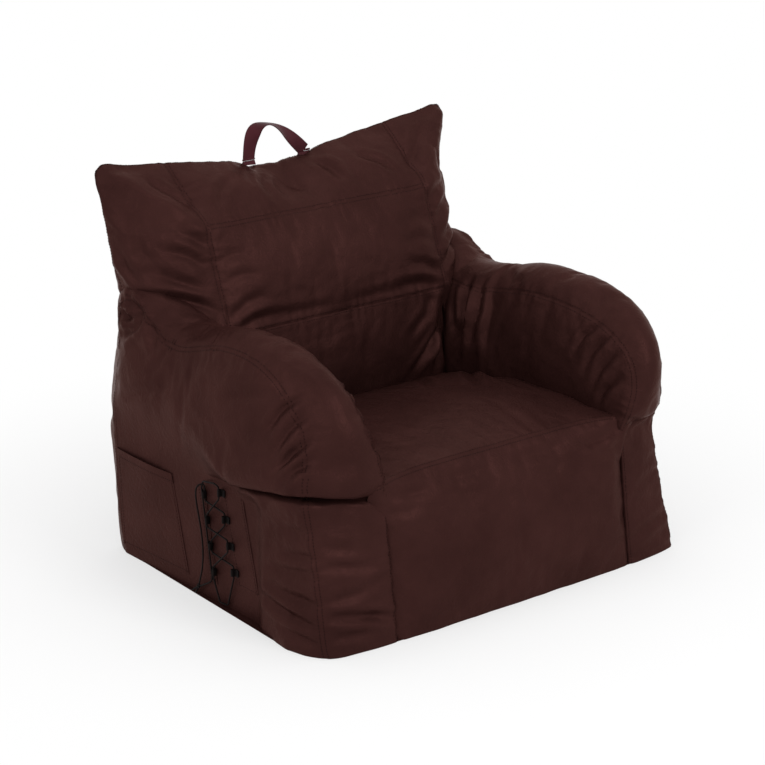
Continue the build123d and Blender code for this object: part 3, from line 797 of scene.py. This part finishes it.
def add_math(tree, operation, first, second=None):
    """The result of a calculation with sockets or plain numbers."""
    node = tree.nodes.new("ShaderNodeMath")
    node.operation = operation
    for index, value in enumerate((first, second)):
        if isinstance(value, (int, float)):
            node.inputs[index].default_value = value
        elif value is not None:
            tree.links.new(value, node.inputs[index])
    return node.outputs[0]


def place_on_object(tree, node):
    """Feed a node the place on the object."""
    link(tree, tree.nodes.new("ShaderNodeTexCoord"), "Object", node, 0)


def shade(tree, source, output, shader, stops):
    """Colour a shader by a value: each stop is a position and a colour."""
    ramp = tree.nodes.new("ShaderNodeValToRGB")
    for element, (position, colour) in zip(ramp.color_ramp.elements, stops):
        element.position = position
        element.color = (*colour, 1)
    link(tree, source, output, ramp, "Fac")
    link(tree, ramp, "Color", shader, "Base Color")


def roughen(tree, source, output, shader, low, high):
    gloss = add_node(tree, "ShaderNodeMapRange", {"To Min": low, "To Max": high})
    link(tree, source, output, gloss, "Value")
    link(tree, gloss, "Result", shader, "Roughness")


def emboss(tree, source, output, shader, height):
    relief = add_node(tree, "ShaderNodeBump", {"Distance": height})
    link(tree, source, output, relief, "Height")
    link(tree, relief, "Normal", shader, "Normal")


def weave_group():
    """Plain weave with broken colour and fine crinkles: colour share, roughness share and height."""
    tree = bpy.data.node_groups.new("woven_cloth", "ShaderNodeTree")
    face = tree.interface
    for socket, kind, value in (
        ("Vector", "NodeSocketVector", None),
        ("Threads per metre", "NodeSocketFloat", 900),
        ("Crinkle per metre", "NodeSocketFloat", 45),
    ):
        made = face.new_socket(socket, in_out="INPUT", socket_type=kind)
        if value is not None:
            made.default_value = value
    for socket in ("Shade", "Gloss", "Height"):
        face.new_socket(socket, in_out="OUTPUT", socket_type="NodeSocketFloat")
    nodes = tree.nodes
    entry, leave = nodes.new("NodeGroupInput"), nodes.new("NodeGroupOutput")

    sums = partial(add_math, tree)
    split = nodes.new("ShaderNodeSeparateXYZ")
    link(tree, entry, "Vector", split, 0)
    threads = []
    for axis in ("X", "Y", "Z"):
        turns = sums("MULTIPLY", split.outputs[axis], entry.outputs["Threads per metre"])
        threads.append(sums("SINE", sums("MULTIPLY", turns, 2 * math.pi)))
    warp = sums("MULTIPLY", threads[0], threads[2])
    weft = sums("MULTIPLY", threads[1], threads[2])
    weave = sums("MULTIPLY", sums("ADD", warp, weft), 0.5)
    crinkle = add_node(tree, "ShaderNodeTexNoise", {"Detail": 4, "Roughness": 0.5, "Distortion": 1.2})
    link(tree, entry, "Crinkle per metre", crinkle, "Scale")
    patches = add_node(tree, "ShaderNodeTexNoise", {"Scale": 9, "Detail": 4, "Roughness": 0.6})
    for texture in (crinkle, patches):
        link(tree, entry, "Vector", texture, "Vector")
    fold = sums("ABSOLUTE", sums("SUBTRACT", crinkle.outputs["Fac"], 0.5))
    mottle = sums("ADD", sums("MULTIPLY", weave, 0.12), patches.outputs["Fac"])
    height = sums("SUBTRACT", sums("MULTIPLY", weave, 0.05), fold)
    tree.links.new(mottle, leave.inputs["Shade"])
    tree.links.new(crinkle.outputs["Fac"], leave.inputs["Gloss"])
    tree.links.new(height, leave.inputs["Height"])
    return tree


WOVEN = weave_group()


def new_material(name):
    material = bpy.data.materials.new(name)
    material.use_nodes = True
    tree = material.node_tree
    return material, tree, tree.nodes["Principled BSDF"]


def woven_material(name, dark, light, rough, bump, threads, crinkle, shine, tinted=0.0):
    """Cloth, webbing or thread: two shades, a roughness range, and the height of its crinkles in metres."""
    material, tree, shader = new_material(name)
    group = tree.nodes.new("ShaderNodeGroup")
    group.node_tree = WOVEN
    group.inputs["Threads per metre"].default_value = threads
    group.inputs["Crinkle per metre"].default_value = crinkle
    place_on_object(tree, group)
    shade(tree, group, "Shade", shader, ((0.3, dark), (0.75, light)))
    roughen(tree, group, "Gloss", shader, *rough)
    emboss(tree, group, "Height", shader, bump)
    shader.inputs["Specular IOR Level"].default_value = shine
    shader.inputs["Specular Tint"].default_value = (0.85, 0.6, 0.55, 1)
    shader.inputs["Metallic"].default_value = tinted
    return material


def zip_metal(name):
    """Blackened metal with rubbed spots."""
    material, tree, shader = new_material(name)
    wear = add_node(tree, "ShaderNodeTexNoise", {"Scale": 420, "Detail": 5})
    place_on_object(tree, wear)
    shade(tree, wear, "Fac", shader, ((0.45, (0.03, 0.026, 0.025)), (0.75, (0.16, 0.13, 0.12))))
    roughen(tree, wear, "Fac", shader, 0.28, 0.5)
    shader.inputs["Metallic"].default_value = 0.85
    return material


def coil_plastic(name, pitch):
    """Moulded zip coil: turns across the chain that stand up as ribs, coloured darker in the hollows between
    them as painted shade.
    """
    material, tree, shader = new_material(name)
    turns = add_node(tree, "ShaderNodeTexWave", {"Scale": math.pi / (10 * pitch), "Distortion": 0.6})
    turns.bands_direction = "X"
    place_on_object(tree, turns)
    # Painted shade: the colour darkens into the hollows between the turns, on the same bands as the ribs'
    # bump.
    shade(tree, turns, "Fac", shader, ((0, (0.006, 0.003, 0.003)), (1, (0.05, 0.02, 0.018))))
    emboss(tree, turns, "Fac", shader, 0.0006)
    shader.inputs["Roughness"].default_value = 0.45
    shader.inputs["Specular IOR Level"].default_value = 0.15
    return material


# Each finish: its two shades, roughness range, crinkle height, threads and crinkles per metre, and shine
COVER = woven_material(
    "cover_cloth_brown", (0.033, 0.0124, 0.0110), (0.046, 0.0174, 0.0154), (0.25, 0.40),
    0.0017, 700, 55, 0.012, tinted=0.34,
)
# Thread drawn much darker than the real brown thread: its rows also carry the painted shade of the small
# grooves that the stitches pull into the cloth.
THREAD_AND_GROOVE_SHADE = woven_material(
    "thread_brown", (0.006, 0.0022, 0.0020), (0.012, 0.0044, 0.0040), (0.5, 0.7), 0.0002, 2500, 300, 0.05
)
HANDLE_WEBBING = woven_material(
    "webbing_plum", (0.036, 0.0088, 0.0110), (0.078, 0.0155, 0.0230), (0.42, 0.6), 0.0005, 420, 90, 0.12
)
BLACK_WEBBING = woven_material(
    "webbing_black", (0.003, 0.0026, 0.0026), (0.008, 0.0066, 0.0066), (0.5, 0.7), 0.0004, 520, 150, 0.08
)
LACE_BRAID = woven_material(
    "lace_black", (0.0025, 0.0023, 0.0023), (0.008, 0.0067, 0.0067), (0.45, 0.65), 0.0004, 620, 220, 0.08
)
ZIP_TAPE = woven_material(
    "zip_tape_brown", (0.020, 0.007, 0.006), (0.034, 0.011, 0.010), (0.6, 0.8), 0.0003, 1100, 120, 0.06
)
ZIP_COIL = coil_plastic("zip_coil_brown", 0.0016)
ZIP_METAL = zip_metal("zip_metal_black")


# Filling a lobe, then parting it along its seams
def seam_groove(points, line, depth):
    """The valley that a tight seam draws into the cloth."""
    away = line_distance(points, line)[0]
    return -depth * np.exp(-((away / 0.0045) ** 2))


def lie_flat(points):
    """Keep the lower right side flat behind the pocket and the lacing."""
    back, z = points[:, 1] - FRONT, points[:, 2]
    released = np.interp(back, (0.22, 0.50), (0.262, 0.440))
    share = np.clip((z - 0.220) / (released - 0.220), 0, 1)
    held = ease(back, 0.15, 0.19) * (1 - ease(share, 0, 1)) * (points[:, 0] < -0.35)
    inside = np.clip(points[:, 0] + SIDE_FLAT, 0, None)
    points[:, 0] += held * (inside * 0.2 - SIDE_FLAT - points[:, 0])


def pull_in(points, place, reach, pull):
    """Draw the cloth round a place by a given step, less and less towards the reach."""
    away = np.linalg.norm(points - place, axis=1)
    points += (np.clip(1 - away / reach, 0, 1) ** 1.5)[:, None] * np.array(pull)


def settle_arm(side, points):
    """Hang the roll over, pinch the shoulder tuck and round the feet of an arm."""
    hang_roll(side, points)
    pull_in(points, at(side * 0.430, 0.640, 0.540), 0.035, (-side * 0.014, -0.008, 0))
    pull_in(points, at(side * 0.430, 0.640, 0), 0.070, (-side * 0.010, -0.014, 0))
    pull_in(points, at(side * 0.430, 0.070, 0), 0.120, (side * 0.020, 0, 0))
    pull_in(points, at(side * 0.440, -0.014, 0), 0.045, (-side * 0.012, 0.006, 0))
    lie_flat(points)


def settle_back(points):
    """Leave room for the folded handle, round the corners and pinch the wing roots."""
    pull_in(points, at(-0.012, 0.630, 0.672), 0.120, (0, 0.008, -0.026))
    pull_in(points, at(-0.012, 0.740, 0.655), 0.120, (0, -0.018, 0))
    for side in (1, -1):
        pull_in(points, at(side * 0.067, 0.690, 0.702), 0.055, (0, 0, -0.010))
        corner = at(side * CORNER_X, TOP_BACK, top_height(CORNER_X * side))
        pull_in(points, corner, 0.045, (-side * 0.016, 0, -0.013))
        pull_in(points, at(side * 0.420, 0.640, 0.520), 0.050, (-side * 0.012, -0.006, 0))


COARSE_CRUMPLE = (0.0028, 0.110, 3.1)    # height, size and seed
FINE_CRUMPLE = (0.0015, 0.042, 8.7)
LONG_PUCKER = (0.0016, 0.018, 0.024)     # height, reach from the seam and pitch
SHORT_PUCKER = (0.0008, 0.010, 0.011)
HEM_LIFT = 0.0005                        # lowest that the cloth comes to the floor


def make_lobe(name, cloth, extra, folds, groove, settle):
    """Fill a lobe of cloth, work its folds, seams and crumples into it, and let it settle."""
    lobe = cloth.build(name)
    inflate(lobe, pressure=2.2, extra=extra, frames=22, cap=0.022)
    filled = vertex_arrays(lobe)[0]
    lines = {seam: filled[ids] for seam, ids in cloth.lines.items()}
    smooth_once(lobe)
    surface = vertex_arrays(lobe)
    points, normals = surface
    offsets = crumple(points, *COARSE_CRUMPLE) + crumple(points, *FINE_CRUMPLE)
    offsets *= np.where(points[:, 1] > 0.25, ease(np.abs(points[:, 2] - ZIP_Z), 0.012, 0.05), 1)
    offsets += folds(surface)
    for seam, line in lines.items():
        edge = 0.35 if seam.endswith("edge") else 1
        offsets += seam_groove(points, line, groove)
        offsets += edge * (pucker(points, line, *LONG_PUCKER) + pucker(points, line, *SHORT_PUCKER))
    points = points + normals * offsets[:, None]
    settle(points)
    points[:, 2] = np.maximum(points[:, 2], HEM_LIFT)
    set_points(lobe, points)
    return lobe, lines


def thicken(obj, thickness):
    """Give a sheet its thickness on the inner side."""
    activate(obj)
    modifier = obj.modifiers.new("cloth", "SOLIDIFY")
    modifier.thickness = thickness
    modifier.offset = -1
    bpy.ops.object.modifier_apply(modifier=modifier.name)
    bpy.ops.object.shade_smooth_by_angle(angle=math.radians(65))


def dress(obj, material):
    """One material all over a piece."""
    obj.data.materials.clear()
    obj.data.materials.append(material)
    obj.data.polygons.foreach_set("material_index", [0] * len(obj.data.polygons))


def declare_sheet(piece, node, fills=()):
    """A sheet of cover cloth that stands for a solid panel and the filling behind it."""
    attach(piece, "chair")
    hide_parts(node, *fills)


def part_panels(lobe, fills):
    """Part a lobe along its seams into panels, each standing for the solid panel of its name."""
    activate(lobe)
    bpy.ops.object.mode_set(mode="EDIT")
    bpy.ops.mesh.select_all(action="SELECT")
    bpy.ops.mesh.separate(type="MATERIAL")
    bpy.ops.object.mode_set(mode="OBJECT")
    for piece in list(bpy.context.selected_objects):
        mesh = piece.data
        node = mesh.materials[mesh.polygons[0].material_index].name.removeprefix("panel_")
        piece.name = f"{node}_cloth"
        dress(piece, COVER)
        thicken(piece, CLOTH_THICKNESS)
        declare_sheet(piece, node, fills=fills.get(node, ()))


# Stitches
# The stitches are wider and darker than the real thread, so that they also stand for the painted shade of the
# grooves along their rows.
STITCH_PITCH = 0.0056
STITCH_LENGTH = 0.0046
STITCH_WIDTH = 0.0018
STITCH_HEIGHT = 0.0007
ROW_SHIFT = 0.0045
STITCH_FACES = ((0, 2, 4), (2, 1, 4), (1, 3, 4), (3, 0, 4), (2, 0, 5), (1, 2, 5), (3, 1, 5), (0, 3, 5))


def surface_tree(obj):
    """The surface of a piece, for finding the nearest place on it."""
    points = [v.co[:] for v in obj.data.vertices]
    return BVHTree.FromPolygons(points, [tuple(p.vertices) for p in obj.data.polygons])


def stitch_rows(name, tree, rows):
    """Rows of stitches on a surface: each row is a line of points and a shift to one side of it."""
    points, faces = [], []
    for line, shift in rows:
        line = np.asarray(line)
        length = np.linalg.norm(np.diff(line, axis=0), axis=1).sum()
        places = even(line, max(3, round(length / STITCH_PITCH)))
        for start, end in zip(places, places[1:]):
            run = Vector(end - start).normalized()
            hit, normal = tree.find_nearest(Vector((start + end) / 2))[:2]
            hit, normal = tree.find_nearest(hit + normal.cross(run) * shift)[:2]
            aside = normal.cross(run).normalized()
            along = aside.cross(normal)
            base = len(points)
            half_axes = (along * STITCH_LENGTH / 2, aside * STITCH_WIDTH / 2, normal * STITCH_HEIGHT)
            for half in half_axes:
                points += [hit + half, hit - half]
            faces += [[base + corner for corner in face] for face in STITCH_FACES]
    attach(new_mesh(name, points, faces, THREAD_AND_GROOVE_SHADE), "chair")


def double(line):
    """A row of stitches on both sides of a seam."""
    return [(line, ROW_SHIFT), (line, -ROW_SHIFT)]


# The four filled lobes
ARMS = {1: "left", -1: "right"}
for side, word in ARMS.items():
    cloth = arm_bolster(side)
    lobe, lines = make_lobe(
        f"arm_{word}", cloth, 0.015, partial(arm_folds, side), 0.0012, partial(settle_arm, side)
    )
    rows = double(lines["inner"]) + double(lines["outer"])
    shoulder_seam = [at(side * 0.440, 0.466, 0.500), at(side * 0.440, 0.468, 0.448)]
    rows += double(shoulder_seam)
    stitch_rows(f"{word}_arm_stitching", surface_tree(lobe), rows)
    part_panels(lobe, {f"{word}_side_panel": (f"{word}_arm_bead_fill",)})

cloth = seat_cloth()
lobe, lines = make_lobe("seat", cloth, 0.008, seat_folds, 0.0014, lie_flat)
stitch_rows("seat_stitching", surface_tree(lobe), double(lines["front_edge"]))
part_panels(lobe, {"seat_panel": ("seat_bead_fill",)})

cloth = back_cloth()
lobe, lines = make_lobe("back", cloth, 0.010, back_folds, 0.0016, settle_back)
rows = []
for seam in lines.values():
    rows += double(seam)
stitch_rows("back_stitching", surface_tree(lobe), rows)
part_panels(lobe, {"rear_panel": ("back_bead_fill",)})


# Base panel, flat on the floor inside the hems of the other panels
def base_sheet():
    """A sheet inside the lowest points of the other panels."""
    panels = [o for o in bpy.data.objects if o.name.endswith("_cloth")]
    low = [v.co for o in panels for v in o.data.vertices if v.co.z < 0.004]
    hull = geometry.convex_hull_2d([p.xy for p in low])
    outline = np.array([low[k][:2] for k in hull])
    outline = even(np.vstack([outline, outline[:1]]), 97)[:-1]
    middle = outline.mean(axis=0)
    outline = np.vstack([outline, outline[:1]])
    rings = []
    for share in (0.994, 0.96, 0.75, 0.5, 0.25, 0):
        ring = middle + (outline - middle) * share
        rings.append(np.c_[ring, np.full(len(ring), BASE_RIM_Z if share > 0.99 else BASE_Z)])
    cloth = Cloth()
    cloth.add("base_panel", np.array(rings), flip=True)
    base = cloth.build("base_panel_cloth")
    dress(base, COVER)
    thicken(base, BASE_THICKNESS)
    declare_sheet(base, "base_panel")


base_sheet()


# Patches on the right side: the pocket, its hem and the two plackets of the laced slit
def side_patch(name, corners, depth, thickness=0.0012, step=0.005):
    """A patch sewn on the side; corners are (back, height) from the foot round, depth is its stand-off."""
    foot_front, foot_rear, top_rear, top_front = (np.array(c) for c in corners)
    columns = round(np.linalg.norm(top_rear - top_front) / step) + 1
    rows = round(np.linalg.norm(top_front - foot_front) / step) + 1
    grid = np.zeros((rows, columns, 3))
    for i, v in enumerate(np.linspace(0, 1, rows)):
        for j, u in enumerate(np.linspace(0, 1, columns)):
            low = foot_front + (foot_rear - foot_front) * u
            high = top_front + (top_rear - top_front) * u
            back, z = low + (high - low) * v
            grid[i, j] = at(-SIDE_X - depth(u, v), back, z)
    cloth = Cloth()
    cloth.add(name, grid)
    patch = cloth.build(f"{name}_cloth")
    dress(patch, COVER)
    activate(patch)
    bpy.ops.object.shade_smooth()
    tree = surface_tree(patch)
    thicken(patch, thickness)
    declare_sheet(patch, name)
    return grid, tree


def hemmed(grid):
    """Rows of stitches along the two sides and the foot of a patch."""
    return [(line, 0) for line in (grid[:, 1], grid[:, -2], grid[1])]


def pocket_depth(u, v):
    """Sewn down at the sides and the foot, and gaping a little at the mouth."""
    return 0.0004 + 0.0048 * math.sin(math.pi * u) ** 0.8 * v**1.2 + 0.0003 * math.sin(9 * u + 5 * v)


POCKET = ((0.402, 0.026), (0.622, 0.018), (0.632, 0.210), (0.450, 0.210))
HEM_SHARE = 0.905
grid, tree = side_patch("side_pocket", POCKET, pocket_depth)
stitch_rows("pocket_stitching", tree, hemmed(grid))
foot_front, foot_rear, top_rear, top_front = (np.array(c) for c in POCKET)
hem = (
    foot_front + (top_front - foot_front) * HEM_SHARE,
    foot_rear + (top_rear - foot_rear) * HEM_SHARE,
    top_rear,
    top_front,
)
grid, tree = side_patch(
    "side_pocket_hem",
    hem,
    lambda u, v: 0.0011 + pocket_depth(u, HEM_SHARE + (1 - HEM_SHARE) * v),
    thickness=0.0009,
    step=0.0035,
)
stitch_rows("pocket_hem_stitching", tree, [(grid[1], 0)])

FRONT_PLACKET = ((0.182, 0.054), (0.244, 0.054), (0.290, 0.232), (0.228, 0.232))
REAR_PLACKET = ((0.310, 0.036), (0.334, 0.036), (0.368, 0.214), (0.344, 0.214))
for name, corners in (("front_placket", FRONT_PLACKET), ("rear_placket", REAR_PLACKET)):
    grid, tree = side_patch(name, corners, lambda u, v: 0.0006 + 0.0003 * math.sin(17 * v + 3 * u))
    stitch_rows(f"{name}_stitching", tree, hemmed(grid))


# Lace: the ends hang free, a knot ties them, and the laced part keeps its solid
LACE = 0.003


def lace_point(back, height, depth):
    """A point beside the right side, in millimetres back from the front, up and out from the side."""
    return at(-SIDE_X - depth / 1000, back / 1000, height / 1000)


LONG_ROUTE = (
    (339.16, 214.82, 4.3), (339.16, 223.82, 4.3), (343, 224, 12), (351, 216, 15.5), (354, 192, 14),
    (349, 152, 10), (344, 118, 8.5), (343, 86, 8), (347, 56, 8), (354, 36, 8), (358, 24, 8),
)
SHORT_ROUTE = (
    (320.16, 52.92, 5.3), (318.67, 44.04, 5.3), (326, 36, 7.5), (336, 31, 8), (346, 25, 8), (355, 20.5, 8),
)
LACE_END_LONG = [lace_point(*place) for place in LONG_ROUTE]
LACE_END_SHORT = [lace_point(*place) for place in SHORT_ROUTE]
KNOT = lace_point(359, 19.5, 8)
KNOT_TIPS = (lace_point(379, 5, 9), lace_point(366, 4, 11))


def cord_curve(name, routes, diameter):
    """A round cord along one or more routes, which are the control points of its splines."""
    data = bpy.data.curves.new(name, "CURVE")
    data.dimensions = "3D"
    data.bevel_depth = diameter / 2
    data.bevel_resolution = 3
    data.resolution_u = 10
    data.use_fill_caps = True
    for route in routes:
        spline = data.splines.new("NURBS")
        spline.points.add(len(route) - 1)
        for point, place in zip(spline.points, route):
            point.co = (*place, 1)
        spline.order_u = 3
        spline.use_endpoint_u = True
    data.materials.append(LACE_BRAID)
    return new_object(name, data)


def knot_route():
    """A loop and a half of lace drawn tight, wider than it is high."""
    route = []
    for t in np.linspace(0, 2 * math.pi, 25):
        along = 0.0012 * (math.sin(t) + 2 * math.sin(2 * t))
        up = 0.0011 * (math.cos(t) - 2 * math.cos(2 * t))
        out = -0.0016 * math.sin(3 * t)
        route.append(KNOT + np.array((out, along, up)))
    return route


tips = [[KNOT, (KNOT + tip) / 2, tip] for tip in KNOT_TIPS]
knot = cord_curve("lace_knot_tied", [knot_route(), *tips], LACE)
activate(knot)
bpy.ops.object.convert(target="MESH")
knot = bpy.context.object
long_end = cord_curve("lace_end_long_cord", [LACE_END_LONG], LACE)
short_end = cord_curve("lace_end_short_cord", [LACE_END_SHORT], LACE)
for piece, node in ((knot, "lace_knot"), (long_end, "lace_end_long"), (short_end, "lace_end_short")):
    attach(piece, "chair")
    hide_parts(node)


# Carry handle: flat webbing that leaves the seam upright and twists to lie flat over the hand
HINGE = np.array((0, 0.337, 0.702))
HANDLE_LEG = 0.067
HANDLE_LEAN = ((-0.060, 0.100), (-0.006, 0.073))     # pulls on the two feet, sideways and up
STRAP_WIDTH = 0.028
STRAP_THICKNESS = 0.0024
STRAP_STEPS = 73
FOOT_BEAD = 0.002


def tube_faces(rings, points, faces):
    """Join rings of points into a closed tube."""
    base, count = len(points), len(rings[0])
    points += [tuple(p) for ring in rings for p in ring]
    for low in range(base, len(points) - count, count):
        for j in range(count):
            k = (j + 1) % count
            faces.append((low + j, low + k, low + count + k, low + count + j))
    faces.append(tuple(base + j for j in reversed(range(count))))
    faces.append(tuple(len(points) - count + j for j in range(count)))


def strap_ring(share, place, slope):
    """The rounded cross-section of the strap at a share of its run from foot to foot."""
    middle = HINGE + np.array((place[0], 0, place[1]))
    run = Vector((slope[0], 0, slope[1])).normalized()
    sideways = Vector((0, 1, 0))
    across = run.cross(sideways).normalized()
    twist = math.radians(90) * math.sin(math.pi * share) ** 2
    width = across * math.cos(twist) + sideways * math.sin(twist)
    depth = run.cross(width)
    ring = []
    for t in np.linspace(0, 2 * math.pi, 20, endpoint=False):
        a = math.copysign(abs(math.cos(t)) ** 0.35, math.cos(t)) * STRAP_WIDTH / 2
        b = math.copysign(abs(math.sin(t)) ** 0.6, math.sin(t)) * STRAP_THICKNESS / 2
        ring.append(middle + np.array(width * a + depth * b))
    return ring


points, faces = [], []
loop = bezier((-HANDLE_LEG, 0), *HANDLE_LEAN, (HANDLE_LEG, 0), STRAP_STEPS)
shares = np.linspace(0, 1, STRAP_STEPS)
tube_faces([strap_ring(*step) for step in zip(shares, loop, np.gradient(loop, axis=0))], points, faces)
turns = np.linspace(0, 2 * math.pi, 16, endpoint=False)
for foot in (-HANDLE_LEG, HANDLE_LEG):
    rings = []
    for x in np.linspace(-STRAP_WIDTH / 2, STRAP_WIDTH / 2, 9):
        circle = np.c_[np.full(16, foot + x), FOOT_BEAD * np.cos(turns), FOOT_BEAD * np.sin(turns)]
        rings.append(HINGE + circle)
    tube_faces(rings, points, faces)
handle = new_mesh("carry_handle_webbing", points, faces, HANDLE_WEBBING)
activate(handle)
bpy.ops.object.shade_smooth_by_angle(angle=math.radians(50))
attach(handle, "handle")
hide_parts("carry_handle")

# Solids that keep their shape and get a finish
for node, material in (
    ("handle_anchors", HANDLE_WEBBING),
    ("front_lace_loops", BLACK_WEBBING),
    ("rear_lace_loops", BLACK_WEBBING),
    ("lace", LACE_BRAID),
    ("zip_tape_upper", ZIP_TAPE),
    ("zip_tape_lower", ZIP_TAPE),
    ("zip_coil_upper", ZIP_COIL),
    ("zip_coil_lower", ZIP_COIL),
    ("zip_stops", ZIP_METAL),
    ("zip_slider", ZIP_METAL),
):
    solid = frame["nodes"][node]
    solid.data.materials.clear()
    solid.data.materials.append(material)

# Camera
camera_data = bpy.data.cameras.new("photo_camera")
camera_data.lens = 117.04
camera_data.sensor_width = 36
camera = new_object("photo_camera", camera_data)
camera.location = (-2.815, -3.492, 1.815)
camera.rotation_euler = (math.radians(90 - 18.43), 0, math.radians(-38.82))
bpy.context.scene.camera = camera


# Floor, backdrop and light
def seen_directly(tree):
    """One for rays from the camera and for what metal mirrors, nought for light on the object."""
    path = tree.nodes.new("ShaderNodeLightPath")
    most = path.outputs["Is Camera Ray"]
    for ray in ("Is Glossy Ray", "Is Transmission Ray"):
        most = add_math(tree, "MAXIMUM", most, path.outputs[ray])
    return most


def white_floor():
    """Pale paper that keeps the shadow near the chair and fades to plain white round it."""
    material, tree, shader = new_material("pale_floor")
    shader.inputs["Base Color"].default_value = (0.92, 0.92, 0.92, 1)
    shader.inputs["Roughness"].default_value = 0.9
    glow = tree.nodes.new("ShaderNodeEmission")
    away = tree.nodes.new("ShaderNodeVectorMath")
    away.operation = "LENGTH"
    place_on_object(tree, away)
    fade = add_node(tree, "ShaderNodeMapRange", {"From Min": 0.5, "From Max": 1.3, "To Min": 0.55})
    fade.interpolation_type = "SMOOTHSTEP"
    link(tree, away, "Value", fade, "Value")
    mix = tree.nodes.new("ShaderNodeMixShader")
    tree.links.new(add_math(tree, "MULTIPLY", fade.outputs["Result"], seen_directly(tree)), mix.inputs[0])
    link(tree, shader, "BSDF", mix, 1)
    link(tree, glow, "Emission", mix, 2)
    link(tree, mix, "Shader", tree.nodes["Material Output"], "Surface")
    return material


bpy.ops.object.select_all(action="DESELECT")
bpy.ops.mesh.primitive_plane_add(size=40, location=(0, 0, 0))
floor = bpy.context.object
floor.name = "floor"
floor.data.materials.append(white_floor())

world = bpy.data.worlds.new("studio")
bpy.context.scene.world = world
world.use_nodes = True
sky = world.node_tree
background = sky.nodes["Background"]
background.inputs["Color"].default_value = (1, 1, 1, 1)
strength = add_node(sky, "ShaderNodeMapRange", {"To Min": 0.82, "To Max": 1})
sky.links.new(seen_directly(sky), strength.inputs["Value"])
link(sky, strength, "Result", background, "Strength")


def lamp(name, place, size, power):
    """A square soft light, turned to the chair."""
    data = bpy.data.lights.new(name, "AREA")
    data.size = size
    data.energy = power
    obj = new_object(name, data)
    obj.location = place
    aim = Vector((0, 0, 0.3)) - Vector(place)
    obj.rotation_euler = aim.to_track_quat("-Z", "Y").to_euler()


lamp("key", (0.3, -2.6, 2.6), 1.2, 28)
lamp("side", (-2.7, -0.6, 2.1), 1.2, 13)
lamp("top", (0.4, 0.6, 3.2), 1.6, 8)
bpy.context.scene.view_settings.view_transform = "Standard"
